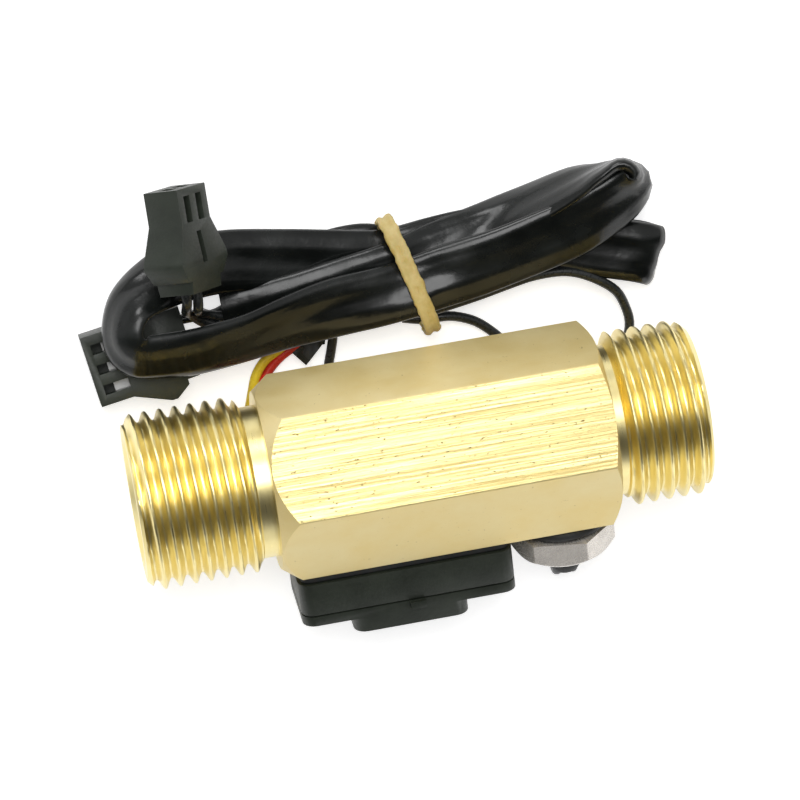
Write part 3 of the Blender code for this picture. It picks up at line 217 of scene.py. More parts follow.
# Noise on Object coordinates, with how often it varies along each direction, per metre.
def grain(material, perMetre, detail=4.0, rough=0.55, turn=0.0, distortion=0.0):
    tree = material.node_tree
    scale = perMetre if isinstance(perMetre, tuple) else (perMetre,) * 3
    place = addNode(tree, "ShaderNodeTexCoord")
    stretch = addNode(tree, "ShaderNodeMapping", place.outputs["Object"], None, (turn, 0, 0), scale)
    pattern = addNode(tree, "ShaderNodeTexNoise", stretch.outputs[0])
    for label, value in (("Scale", 1.0), ("Detail", detail), ("Roughness", rough), ("Distortion", distortion)):
        pattern.inputs[label].default_value = value
    return pattern.outputs["Fac"]


def remap(material, source, fromLow, fromHigh, toLow, toHigh):
    return addNode(material.node_tree, "ShaderNodeMapRange", source, fromLow, fromHigh, toLow, toHigh).outputs[0]


def blendColours(material, amount, first, second):
    node = addNode(material.node_tree, "ShaderNodeMix", data_type="RGBA")
    material.node_tree.links.new(amount, node.inputs["Factor"])
    for socket, value in ((6, first), (7, second)):  # the colour pair of its inputs
        putIn(material.node_tree, node, socket, (*value, 1) if isinstance(value, tuple) else value)
    return node.outputs[2]


def feed(material, label, source):
    tree = material.node_tree
    tree.links.new(source, tree.nodes["Principled BSDF"].inputs[label])


# Adds relief of some depth in metres; several reliefs stack.
def relief(material, height, depth, strength=1.0):
    tree = material.node_tree
    node = tree.nodes.new("ShaderNodeBump")
    node.inputs["Distance"].default_value = depth
    node.inputs["Strength"].default_value = strength
    normal = tree.nodes["Principled BSDF"].inputs["Normal"]
    if normal.is_linked:
        tree.links.new(normal.links[0].from_socket, node.inputs["Normal"])
    tree.links.new(height, node.inputs["Height"])
    tree.links.new(node.outputs[0], normal)


# Finishes

brassLook = {
    "bright": (0.88, 0.74, 0.33),
    "pale": (0.96, 0.84, 0.44),
    "tan": (0.62, 0.48, 0.19),
    "dark": (0.36, 0.24, 0.08),
    "drawn": ((0.90, 0.71, 0.30), (0.95, 0.80, 0.42)),
    "metallicWhereDrawn": 0.45,
    # How often each pattern varies along the bar and across it, per metre.
    "streaks": (26, 4300, 4300),
    "torn": (900, 5200, 5200),
    "broad": (30, 700, 700),
    "pits": (1700, 4200, 4200),
    "drawnLines": (90, 3800, 3800),
    "latheRings": (9000, 160, 160),
}


def makeTurnedBrass():
    look = brassLook
    made = startMaterial("turnedBrass", look["bright"], 0.22, 1.0)
    rings = grain(made, look["latheRings"], 3)
    cloud = grain(made, 240, 4)
    feed(made, "Base Color", blendColours(made, remap(made, cloud, 0.35, 0.7, 0, 1), look["bright"], look["pale"]))
    feed(made, "Roughness", remap(made, rings, 0.3, 0.7, 0.27, 0.36))
    relief(made, rings, 0.000008, 0.4)
    return made


# The face that was planed: bright torn streaks along the bar, with dark pits at their ends.
def makeStreakedBrass():
    look = brassLook
    made = startMaterial("streakedBrass", look["pale"], 0.32, 1.0)
    streaks = grain(made, look["streaks"], 5, 0.72, faceTurn, 0.05)
    torn = grain(made, look["torn"], 4, 0.6, faceTurn, 0.3)
    broad = grain(made, look["broad"], 3, 0.5, faceTurn)
    pits = grain(made, look["pits"], 2, 0.5, faceTurn)
    lined = blendColours(made, remap(made, streaks, 0.42, 0.58, 0, 1), look["tan"], look["pale"])
    speckled = blendColours(made, remap(made, torn, 0.52, 0.70, 0, 0.45), lined, look["bright"])
    worn = blendColours(made, remap(made, broad, 0.42, 0.7, 0, 0.45), speckled, look["bright"])
    feed(made, "Base Color", blendColours(made, remap(made, pits, 0.69, 0.74, 0, 0.9), worn, look["dark"]))
    feed(made, "Roughness", remap(made, streaks, 0.35, 0.62, 0.50, 0.32))
    relief(made, streaks, 0.00007, 0.8)
    relief(made, torn, 0.00003, 0.6)
    relief(made, remap(made, pits, 0.66, 0.76, 1, 0), 0.00005, 0.8)
    return made


# The bar's drawn faces: dull, pale, slightly clouded.
def makeDrawnBrass():
    look = brassLook
    made = startMaterial("drawnBrass", look["tan"], 0.42, look["metallicWhereDrawn"])
    cloud = grain(made, 130, 5, 0.6)
    lines = grain(made, look["drawnLines"], 4, 0.6, faceTurn)
    specks = grain(made, 2300, 2, 0.5)
    shade = blendColours(made, remap(made, cloud, 0.35, 0.68, 0, 1), *look["drawn"])
    feed(made, "Base Color", blendColours(made, remap(made, specks, 0.70, 0.78, 0, 0.5), shade, look["dark"]))
    feed(made, "Roughness", remap(made, cloud, 0.3, 0.7, 0.40, 0.52))
    relief(made, lines, 0.00003, 0.5)
    relief(made, cloud, 0.00012, 0.4)
    return made


# Moulded plastic, rubber or insulation: a fine sparkle in soft clouds.
def makeMoulding(name, colour, roughness, grainDepth=0.00003):
    made = startMaterial(name, colour, roughness)
    sparkle = grain(made, 3200, 3)
    cloud = grain(made, 220, 3)
    brighter = tuple(min(1, c * 1.5 + 0.004) for c in colour)
    feed(made, "Base Color", blendColours(made, remap(made, cloud, 0.35, 0.7, 0, 1), colour, brighter))
    feed(made, "Roughness", remap(made, sparkle, 0.3, 0.7, roughness - 0.07, roughness + 0.09))
    relief(made, sparkle, grainDepth, 0.6)
    return made


def makeSleevePlastic():
    sheen = {"Specular IOR Level": 0.38, "Coat Weight": 0.1, "Coat Roughness": 0.08}
    made = startMaterial("sleevePlastic", (0.004, 0.005, 0.005), 0.22, **sheen)
    haze = grain(made, 150, 4)
    fine = grain(made, 1500, 3)
    feed(made, "Base Color", blendColours(made, remap(made, haze, 0.4, 0.7, 0, 1),
                                          (0.004, 0.005, 0.0045), (0.010, 0.012, 0.011)))
    feed(made, "Roughness", remap(made, haze, 0.3, 0.7, 0.17, 0.33))
    relief(made, fine, 0.00004, 0.35)
    relief(made, haze, 0.0004, 0.35)
    return made


# Plated or bright metal, with fine drawn lines and a faint stain.
def makeMetal(name, colour, roughness, metallic=1.0):
    made = startMaterial(name, colour, roughness, metallic)
    lines = grain(made, (2500, 2500, 260), 3)
    feed(made, "Roughness", remap(made, lines, 0.3, 0.7, roughness * 0.8, roughness * 1.3))
    stain = grain(made, 420, 4)
    stained = tuple(c * 0.84 for c in colour)
    feed(made, "Base Color", blendColours(made, remap(made, stain, 0.4, 0.7, 0, 1), colour, stained))
    relief(made, lines, 0.00001, 0.5)
    return made


def makeLatex():
    depth = {"Subsurface Weight": 0.12, "Subsurface Scale": 0.0008}
    made = startMaterial("latex", (0.64, 0.49, 0.17), 0.5, **depth)
    patch = grain(made, 420, 5, 0.6)
    wrinkle = grain(made, 1400, 3)
    feed(made, "Base Color", blendColours(made, remap(made, patch, 0.35, 0.7, 0, 1),
                                          (0.55, 0.41, 0.12), (0.72, 0.58, 0.26)))
    feed(made, "Roughness", remap(made, patch, 0.3, 0.7, 0.42, 0.62))
    relief(made, wrinkle, 0.00012, 0.6)
    relief(made, patch, 0.0003, 0.5)
    return made


finishes = {
    "turned_brass": makeTurnedBrass(),
    "black_moulding": makeMoulding("blackMoulding", (0.018, 0.023, 0.016), 0.42),
    "rotor_moulding": makeMoulding("rotorMoulding", (0.72, 0.73, 0.70), 0.45),
    "bearing_moulding": makeMoulding("bearingMoulding", (0.82, 0.80, 0.72), 0.42),
    "ferrite_magnet": makeMoulding("ferriteMagnet", (0.050, 0.050, 0.055), 0.55, 0.00006),
    "stainless_steel": makeMetal("stainlessSteel", (0.66, 0.65, 0.63), 0.26),
    "nickel_plate": makeMetal("nickelPlate", (0.90, 0.85, 0.79), 0.26, metallic=0.45),
    "tinned_metal": makeMetal("tinnedMetal", (0.50, 0.50, 0.49), 0.36),
    "black_rubber": makeMoulding("blackRubber", (0.014, 0.015, 0.015), 0.58),
    "bead_glass": makeMoulding("beadGlass", (0.22, 0.14, 0.05), 0.15),
    "board_laminate": makeMoulding("boardLaminate", (0.02, 0.15, 0.05), 0.35),
    "red_wire": makeMoulding("redInsulation", (0.52, 0.025, 0.015), 0.30),
    "yellow_wire": makeMoulding("yellowInsulation", (0.80, 0.52, 0.03), 0.30),
    "black_wire": makeMoulding("blackInsulation", (0.013, 0.015, 0.015), 0.30),
    "cable_sleeve": makeSleevePlastic(),
    "latex_band": makeLatex(),
}
streakedBrass = makeStreakedBrass()
drawnBrass = makeDrawnBrass()
print("finishes ready")


# Mesh building blocks

def addPiece(name, shape, *materials, smooth=30):
    mesh = bpy.data.meshes.new(name)
    bmesh.ops.recalc_face_normals(shape, faces=shape.faces)
    shape.to_mesh(mesh)
    shape.free()
    for material in materials:
        mesh.materials.append(material)
    piece = bpy.data.objects.new(name, mesh)
    bpy.context.scene.collection.objects.link(piece)
    sharpenEdges(piece, math.radians(smooth))
    return piece


# Smooth shading, apart from the edges that turn by more than the angle.
def sharpenEdges(piece, angle):
    piece.data.shade_smooth()
    piece.data.set_sharp_from_angle(angle=angle)


# Parents a finished piece to its body's empty and hides the CAD nodes that it replaces.
def settle(piece, body, slotName, *replaced):
    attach(piece, body)
    if replaced:
        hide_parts(*replaced)
    return piece


# Turns what the modifiers make of a piece into its plain mesh.
def bake(piece):
    bpy.context.view_layer.update()
    made = bpy.data.meshes.new_from_object(piece.evaluated_get(bpy.context.evaluated_depsgraph_get()))
    piece.modifiers.clear()
    old = piece.data
    piece.data = made
    made.name = piece.name
    bpy.data.meshes.remove(old)
    return piece


# Cuts, joins or keeps what is shared with another piece, which is used up.
def carve(piece, operation, tool):
    change = piece.modifiers.new("carve", "BOOLEAN")
    change.operation = operation
    change.solver = "EXACT"
    change.material_mode = "TRANSFER"
    change.object = tool
    bake(piece)
    bpy.data.objects.remove(tool, do_unlink=True)


# Revolves (radius, height) points about Z. A closed profile makes a ring.
def lathe(profile, sides, closed=False):
    shape = bmesh.new()
    rings = []
    for radius, height in profile:
        if radius == 0:
            rings.append([shape.verts.new((0, 0, height))])
            continue
        angles = [2 * math.pi * k / sides for k in range(sides)]
        rings.append([shape.verts.new((radius * math.cos(angle), radius * math.sin(angle), height))
                      for angle in angles])
    pairs = list(zip(rings, rings[1:])) + ([(rings[-1], rings[0])] if closed else [])
    for low, high in pairs:
        for k in range(sides):
            j = (k + 1) % sides
            corners = [low[k % len(low)], low[j % len(low)], high[j % len(high)], high[k % len(high)]]
            distinct = list(dict.fromkeys(corners))
            if len(distinct) > 2:
                shape.faces.new(distinct)
    return shape


def transformed(shape, matrix):
    bmesh.ops.transform(shape, matrix=matrix, verts=shape.verts)
    return shape


flowTurn = Matrix.Rotation(math.pi / 2, 4, "Y")
samplesPerLeg = 16


# A point list that follows a smooth curve through the route, about one each spacing, and its length.
# Works on any number of values a point, such as a place and a lean.
def smoothRoute(route, spacing):
    count = len(route)
    dense = []
    for k in range(count - 1):
        a, b, c, d = (route[max(0, min(count - 1, k + j))] for j in (-1, 0, 1, 2))
        for step in range(samplesPerLeg):
            t = step / samplesPerLeg
            dense.append([0.5 * (2 * q + (r - p) * t + (2 * p - 5 * q + 4 * r - s) * t * t
                                 + (3 * q - p - 3 * r + s) * t ** 3) for p, q, r, s in zip(a, b, c, d)])
    dense.append(list(route[-1]))
    lengths = [0.0]
    for before, after in zip(dense, dense[1:]):
        lengths.append(lengths[-1] + math.dist(before[:3], after[:3]))
    parts = max(2, round(lengths[-1] / spacing))
    result = []
    index = 0
    for step in range(parts + 1):
        target = lengths[-1] * step / parts
        while index < len(dense) - 2 and lengths[index + 1] < target:
            index += 1
        share = (target - lengths[index]) / max(1e-12, lengths[index + 1] - lengths[index])
        result.append([p + (q - p) * share for p, q in zip(dense[index], dense[index + 1])])
    return result, lengths[-1]


# Geometry Nodes building blocks

class NodeBench:
    def __init__(self, name, **inputs):
        self.tree = bpy.data.node_groups.new(name, "GeometryNodeTree")
        face = self.tree.interface
        face.new_socket("Geometry", in_out="INPUT", socket_type="NodeSocketGeometry")
        self.identifiers = {}
        for label, kind in inputs.items():
            socket = face.new_socket(label, in_out="INPUT", socket_type="NodeSocket" + kind)
            self.identifiers[label] = socket.identifier
        face.new_socket("Geometry", in_out="OUTPUT", socket_type="NodeSocketGeometry")
        self.start = self.tree.nodes.new("NodeGroupInput")
        self.end = self.tree.nodes.new("NodeGroupOutput")

    def value(self, label):
        return self.start.outputs[label]

    def add(self, kind, *sources, **settings):
        return addNode(self.tree, kind, *sources, **settings)

    def calc(self, operation, first, second=0.0, third=0.0):
        return self.add("ShaderNodeMath", first, second, third, operation=operation).outputs[0]

    def finish(self, geometry, material):
        real = self.add("GeometryNodeRealizeInstances", geometry)
        painted = self.add("GeometryNodeSetMaterial", real.outputs[0])
        putIn(self.tree, painted, "Material", material)
        self.tree.links.new(painted.outputs[0], self.end.inputs[0])

    def apply(self, piece, **values):
        change = piece.modifiers.new(self.tree.name, "NODES")
        change.node_group = self.tree
        for label, setting in values.items():
            change[self.identifiers[label]] = setting
        return bake(piece)


# Copies of a small shape in a straight row, such as screws or contacts.
def buildRowTree():
    bench = NodeBench("rowOfCopies", copies="Int", step="Vector", finish="Material")
    line = bench.add("GeometryNodeMeshLine")
    putIn(bench.tree, line, "Count", bench.value("copies"))
    putIn(bench.tree, line, "Offset", bench.value("step"))
    placed = bench.add("GeometryNodeInstanceOnPoints", line.outputs[0], None, bench.start.outputs[0])
    bench.finish(placed.outputs[0], bench.value("finish"))
    return bench


rowTree = buildRowTree()


# Brass body

brassBody = {
    "length": 67.6 * mm,
    "acrossFlats": 21.4 * mm,
    "hexStart": -18.1 * mm,
    "hexEnd": 22.45 * mm,
    "edgeRound": 0.3 * mm,
    "startChamfer": (10.6 * mm, math.tan(math.radians(37))),  # radius at the end, and slope
    "endChamfer": (10.65 * mm, math.tan(math.radians(62))),
    "pastCorner": 0.3 * mm,  # how far the chamfers' blank reaches beyond the hexagon
    "coreRadius": 8.0 * mm,
    "neckRadius": 9.0 * mm,
    "inletThread": 13.9 * mm,
    "outletThread": 10.1 * mm,
    "runOut": 0.7 * mm,
    "runOutSteps": (0.25, 0.5, 0.75),
    "chamberRadius": 6.75 * mm,
    "outletRadius": 5.75 * mm,
    "shoulder": 3.8 * mm,
    "boreChamfer": 0.7 * mm,
    "ringGroove": (-22.9 * mm, -21.7 * mm, 7.25 * mm),
    "probeHole": (16.3 * mm, 4.2 * mm, 12 * mm, 48),  # place, radius, depth and sides
    "sides": 144,
    "smoothUnder": math.radians(32),
}
pipeThread = {
    "crest": 20.955 / 2 * mm,
    "depth": 1.162 * mm,
    "pitch": 1.814 * mm,
    "endChamfer": 1.15 * mm,
    "innerLimit": 8.6 * mm,  # what lies further in is the bore and stays round
    "inletPhase": 0.29,
    "outletPhase": 0.71,
    "stepsPerTurn": 16,
}


# Cuts a helical thread into every point that lies outside the neck: the radius follows a rounded
# triangle wave along the helix, and tapers off at the pipe's end.
def buildThreadTree():
    bench = NodeBench("pipeThread", crest="Float", depth="Float", pitch="Float", innerLimit="Float",
                      halfLength="Float", endChamfer="Float", inletPhase="Float", phaseStep="Float",
                      finish="Material")
    place = bench.add("GeometryNodeInputPosition")
    split = bench.add("ShaderNodeSeparateXYZ", place.outputs[0])
    x, y, z = split.outputs
    radius = bench.calc("SQRT", bench.calc("ADD", bench.calc("MULTIPLY", y, y), bench.calc("MULTIPLY", z, z)))
    angle = bench.calc("ARCTAN2", z, y)
    along = bench.calc("SUBTRACT", bench.calc("DIVIDE", x, bench.value("pitch")),
                       bench.calc("DIVIDE", angle, 2 * math.pi))
    atOutlet = bench.calc("GREATER_THAN", x, 0.0)
    phase = bench.calc("ADD", bench.value("inletPhase"), bench.calc("MULTIPLY", atOutlet, bench.value("phaseStep")))
    turns = bench.calc("ADD", bench.calc("SUBTRACT", along, phase), 0.5)
    wave = bench.calc("MULTIPLY", bench.calc("PINGPONG", turns, 0.5), 2.0)
    rounded = bench.add("ShaderNodeMapRange", wave, 0.06, 0.94, 0.0, 1.0, interpolation_type="SMOOTHSTEP").outputs[0]
    root = bench.calc("SUBTRACT", bench.value("crest"), bench.value("depth"))
    cut = bench.calc("ADD", root, bench.calc("MULTIPLY", rounded, bench.value("depth")))
    toEnd = bench.calc("SUBTRACT", bench.value("halfLength"), bench.calc("ABSOLUTE", x))
    lead = bench.calc("ADD", bench.calc("SUBTRACT", bench.value("crest"), bench.value("endChamfer")), toEnd)
    tapered = bench.calc("MINIMUM", cut, lead)
    kept = bench.calc("MINIMUM", tapered, radius)
    scale = bench.calc("DIVIDE", kept, radius)
    moved = bench.add("ShaderNodeCombineXYZ", x, bench.calc("MULTIPLY", y, scale), bench.calc("MULTIPLY", z, scale))
    outside = bench.add("FunctionNodeCompare", radius, bench.value("innerLimit"), operation="GREATER_THAN")
    change = bench.add("GeometryNodeSetPosition", bench.start.outputs[0], outside.outputs[0], moved.outputs[0])
    bench.finish(change.outputs[0], bench.value("finish"))
    return bench


# One closed profile of (x, radius): inlet thread, necks, outlet thread, then back through the bore.
def spindleProfile():
    size = brassBody
    half = size["length"] / 2
    crest, neck, entry, runOut = pipeThread["crest"], size["neckRadius"], size["boreChamfer"], size["runOut"]
    chamber, outlet = size["chamberRadius"], size["outletRadius"]
    inletNeck = -half + size["inletThread"]
    outletNeck = half - size["outletThread"]
    step = pipeThread["pitch"] / pipeThread["stepsPerTurn"]
    rise = crest - neck
    profile = [(-half, chamber + entry), (-half, crest)]
    stations = round((size["inletThread"] - runOut) / step)
    profile += [(-half + (k + 1) * (size["inletThread"] - runOut) / stations, crest) for k in range(stations)]
    profile += [(inletNeck - runOut * (1 - share), crest - rise * share) for share in size["runOutSteps"]]
    profile += [(inletNeck, neck), (outletNeck, neck)]
    profile += [(outletNeck + runOut * share, neck + rise * share) for share in (*size["runOutSteps"], 1.0)]
    stations = round((size["outletThread"] - runOut) / step)
    start = outletNeck + runOut
    profile += [(start + (k + 1) * (half - start) / stations, crest) for k in range(stations)]
    back, front, groove = size["ringGroove"]
    return profile + [(half, outlet + entry), (half - entry, outlet), (size["shoulder"], outlet),
                      (size["shoulder"], chamber), (front, chamber), (front, groove), (back, groove),
                      (back, chamber), (-half + entry, chamber)]


# The corner points of a hexagon with rounded edges, as pairs; the turns are those round each edge.
def roundedHexagon(corner, edgeRound, turns, firstAngle=0.0):
    outline = []
    for k in range(6):
        middle = firstAngle + math.pi / 3 * k
        inset = corner - edgeRound / math.cos(math.pi / 6)
        for turn in turns:
            angle = middle + math.radians(turn)
            outline.append((inset * math.cos(middle) + edgeRound * math.cos(angle),
                            inset * math.sin(middle) + edgeRound * math.sin(angle)))
    return outline


def prismBetween(ends):
    shape = bmesh.new()
    first, last = ([shape.verts.new(point) for point in end] for end in ends)
    for k in range(len(first)):
        j = (k + 1) % len(first)
        shape.faces.new([first[k], first[j], last[j], last[k]])
    shape.faces.new(first)
    shape.faces.new(last)
    return shape


# The hexagon bar: rounded edges, turned ends and a core cut out inside the spindle's wall.
def makeHexagon():
    size = brassBody
    half = size["length"] / 2
    corner = size["acrossFlats"] / math.sqrt(3)
    outline = roundedHexagon(corner, size["edgeRound"], (-30, -18, -6, 6, 18, 30))
    bar = prismBetween([[(x, y, z) for y, z in outline] for x in (size["hexStart"], size["hexEnd"])])
    hexagon = addPiece("hexagon", bar, drawnBrass, streakedBrass, finishes["turned_brass"])
    streakedSide = math.pi / 2 - math.radians(120)
    for face in hexagon.data.polygons:
        if abs(face.normal.x) > 0.5:
            face.material_index = 2
        elif math.cos(math.atan2(face.normal.z, face.normal.y) - streakedSide) > math.cos(math.radians(29)):
            face.material_index = 1
    over = corner + size["pastCorner"]
    startRadius, startSlope = size["startChamfer"]
    endRadius, endSlope = size["endChamfer"]
    blankProfile = [(0, size["hexStart"] - mm), (startRadius - startSlope * mm, size["hexStart"] - mm),
                    (over, size["hexStart"] + (over - startRadius) / startSlope),
                    (over, size["hexEnd"] - (over - endRadius) / endSlope),
                    (endRadius - endSlope * mm, size["hexEnd"] + mm), (0, size["hexEnd"] + mm)]
    carve(hexagon, "INTERSECT",
          addPiece("blank", transformed(lathe(blankProfile, size["sides"]), flowTurn), drawnBrass))
    coreProfile = [(0, -half), (size["coreRadius"], -half), (size["coreRadius"], half), (0, half)]
    carve(hexagon, "DIFFERENCE",
          addPiece("core", transformed(lathe(coreProfile, size["sides"]), flowTurn), finishes["turned_brass"]))
    return hexagon


def makeBrassBody():
    size = brassBody
    spindle = lathe([(radius, x) for x, radius in spindleProfile()], size["sides"], closed=True)
    body = addPiece("brassBodyDressed", transformed(spindle, flowTurn), finishes["turned_brass"])
    buildThreadTree().apply(
        body, crest=pipeThread["crest"], depth=pipeThread["depth"], pitch=pipeThread["pitch"],
        innerLimit=pipeThread["innerLimit"], halfLength=size["length"] / 2, endChamfer=pipeThread["endChamfer"],
        inletPhase=pipeThread["inletPhase"], phaseStep=pipeThread["outletPhase"] - pipeThread["inletPhase"],
        finish=finishes["turned_brass"])
    carve(body, "UNION", makeHexagon())
    x, radius, depth, sides = size["probeHole"]
    hole = lathe([(0, 0), (radius, 0), (radius, depth), (0, depth)], sides)
    carve(body, "DIFFERENCE", addPiece("hole", transformed(hole, Matrix.Translation((x, 0, 0)))))
    body.data.transform(sensorFrame)
    sharpenEdges(body, size["smoothUnder"])
    settle(body, shell, "turned_brass", "brass_body")
    print("brass body ready:", len(body.data.polygons), "faces")


# CAD nodes that keep their shape, with their edges softened by so many mm

softened = {
    "sensor_housing": 0.16, "sensor_lid": 0.18, "sensor_gasket": 0.10, "circuit_board": 0.05,
    "hall_chip": 0.06, "board_capacitor": 0.12, "board_resistor_1": 0.05, "board_resistor_2": 0.05,
    "wire_grommet": 0.15, "flow_guide": 0.10, "outlet_support": 0.10, "front_bearing": 0.08,
    "rear_bearing": 0.08, "rotor": 0.12, "rotor_magnet": 0.15, "rotor_shaft": 0.10,
    "retaining_ring": 0.06, "flow_plug": 0.16, "probe_plug": 0.16, "thermistor_bead": 0.04,
}
softening = {
    "mergeWithin": 0.002 * mm,
    "flatUnder": math.radians(1),
    "sharpOver": math.radians(35),
    "segments": 2,
    "profile": 0.6,
}


def softenNodes():
    pieces = {}
    slots = {row["node"]: row["material_slot"] for row in frame["record"]["subparts"]}
    for node, width in softened.items():
        shape = bmesh.new()
        shape.from_mesh(nodes[node].data)
        bmesh.ops.remove_doubles(shape, verts=shape.verts, dist=softening["mergeWithin"])
        bmesh.ops.dissolve_limit(shape, angle_limit=softening["flatUnder"], verts=shape.verts, edges=shape.edges)
        sharp = [edge for edge in shape.edges
                 if edge.is_manifold and edge.calc_face_angle(0) > softening["sharpOver"]]
        bmesh.ops.bevel(shape, geom=sharp, offset=width * mm, segments=softening["segments"],
                        profile=softening["profile"], affect="EDGES", clamp_overlap=True, offset_type="OFFSET")
        piece = addPiece(node + "Dressed", shape, finishes[slots[node]], smooth=35)
        pieces[node] = settle(piece, turbine if node.startswith("rotor") else shell, slots[node], node)
    print("softened", len(softened), "nodes")
    return pieces


# Cords. The routes are in mm, for lying(); each starts inside the grommet or the probe's potting.

wireDiameter = 1.2 * mm
wireSpacing = {"cord": 0.7 * mm, "plug": 0.5 * mm}  # between the points along a wire
hallWires = {
    "exits": {"black": -10.05 * mm, "red": -11.55 * mm, "yellow": -13.05 * mm},
    "exitDepth": (-5.88 * mm, -6.33 * mm),
    "exitLevel": 13.2 * mm,
    "black": [(-10.1, -10.15, 1.05), (-10.3, -9.3, 0.7), (-11.35, -7.6, 0.63), (-12.95, -6.5, 0.63),
              (-15.25, -6.1, 0.63), (-17.2, -5.3, 0.63), (-18.4, -3.4, 0.63), (-18.45, 0.0, 0.63),
              (-18.3, 3.0, 0.63), (-17.4, 5.6, 0.63), (-15.4, 6.9, 0.63), (-12.2, 7.2, 0.63),
              (-9.4, 7.9, 0.63), (-8.1, 9.4, 0.7), (-7.5, 11.2, 0.9), (-7.0, 12.8, 1.3), (-6.6, 14.6, 1.6),
              (-7.0, 16.4, 1.5)],
    "yellow": [(-13.1, -10.15, 1.05), (-13.4, -9.45, 0.72), (-14.35, -9.0, 0.63), (-16.4, -8.8, 0.63),
               (-18.2, -8.1, 0.63), (-19.5, -6.4, 0.63), (-19.95, -3.5, 0.63), (-19.95, 1.0, 0.63),
               (-19.5, 4.2, 0.63), (-18.2, 6.4, 0.63), (-17.6, 7.9, 0.65), (-17.1, 9.4, 0.85), (-16.4, 11.2, 1.2),
               (-15.0, 12.8, 1.5), (-12.8, 14.0, 1.7), (-11.2, 15.2, 1.6), (-9.8, 16.4, 1.5)],
    "red": [(-11.6, -10.15, 1.05), (-11.85, -9.2, 0.7), (-12.85, -8.1, 0.63), (-14.65, -7.55, 0.63),
            (-16.8, -7.1, 0.65), (-18.3, -5.9, 1.0), (-19.05, -4.4, 1.7), (-19.15, -2.6, 1.92),
            (-19.15, 0.5, 1.9), (-18.95, 3.5, 1.9), (-17.7, 6.0, 1.7), (-16.5, 8.2, 1.25), (-15.9, 9.8, 0.95),
            (-15.2, 10.9, 0.95), (-14.2, 12.0, 1.1), (-12.9, 13.0, 1.4), (-11.2, 13.9, 1.6), (-9.6, 15.2, 1.6)],
}
probeWires = {
    "start": (16.3 * mm, -0.3 * mm, 16.8 * mm),
    "apart": 1.9 * mm,
    "a": [(17.3, -17.9, 5.0), (17.4, -18.0, 2.8), (17.7, -16.5, 1.0), (18.6, -13.5, 0.63), (20.8, -10.5, 0.63),
          (24.0, -7.5, 0.63), (26.05, -4.0, 0.63), (26.05, 1.0, 0.63), (26.9, 5.0, 0.63), (28.6, 7.4, 0.63),
          (29.3, 9.4, 0.7), (29.1, 11.3, 1.2), (28.1, 13.7, 2.4), (26.1, 15.5, 3.4), (23.6, 16.9, 3.7),
          (21.2, 17.5, 3.8), (18.0, 17.5, 3.9), (15.4, 17.1, 3.9), (11.2, 16.3, 3.8), (6.8, 15.6, 3.5),
          (4.4, 15.3, 3.0), (1.6, 15.7, 2.6)],
    "b": [(15.4, -17.9, 5.0), (15.5, -18.0, 2.8), (15.9, -16.3, 1.0), (17.0, -13.0, 0.63), (19.3, -9.8, 0.63),
          (22.6, -6.8, 0.63), (24.6, -3.5, 0.63), (24.6, 2.0, 0.63), (24.1, 5.4, 0.63), (21.8, 7.2, 0.63),
          (18.4, 7.5, 0.63), (15.6, 8.3, 0.63), (13.9, 9.7, 0.64), (12.9, 11.0, 0.75), (10.8, 12.9, 1.1),
          (8.4, 14.0, 1.5), (6.6, 14.3, 1.7), (4.6, 14.3, 1.6), (2.0, 14.9, 1.4)],
}


# A round wire along a route of world points. Gives the wire, its points and its length.
def tubeAlong(name, route, spacing, slotName, *replaced):
    points, length = smoothRoute(route, spacing)
    curve = bpy.data.curves.new(name, "CURVE")
    curve.dimensions = "3D"
    curve.bevel_depth = wireDiameter / 2
    curve.bevel_resolution = 4
    curve.use_fill_caps = True
    spline = curve.splines.new("POLY")
    spline.points.add(len(points) - 1)
    for spot, point in zip(spline.points, points):
        spot.co = (*point, 1)
    spline.use_smooth = True
    curve.materials.append(finishes[slotName])
    wire = bpy.data.objects.new(name, curve)
    bpy.context.scene.collection.objects.link(wire)
    return settle(wire, shell, slotName, *replaced), points, length


def makeWire(name, route, slotName, node):
    wire, points, length = tubeAlong(name, route, wireSpacing["cord"], slotName, node)


def makeWires():
    for colour, x in hallWires["exits"].items():
        start = [sensorFrame @ Vector((x, depth, hallWires["exitLevel"])) for depth in hallWires["exitDepth"]]
        route = start + [lying(*point) for point in hallWires[colour]]
        makeWire(colour + "WireDressed", route, colour + "_wire", "wire_" + colour)
    x, y, z = probeWires["start"]
    for side, offset in (("a", probeWires["apart"] / 2), ("b", -probeWires["apart"] / 2)):
        route = [sensorFrame @ Vector((x + offset, y, z))] + [lying(*point) for point in probeWires[side]]
        makeWire(f"probeWire{side.upper()}Dressed", route, "black_wire", "probe_wire_" + side)
    print("wires ready")


# Flattened sleeves. Each row is x, y, z in mm, the lean of the flat side (0 lies flat, 90 stands)
# and, where it arches, by how much in mm.

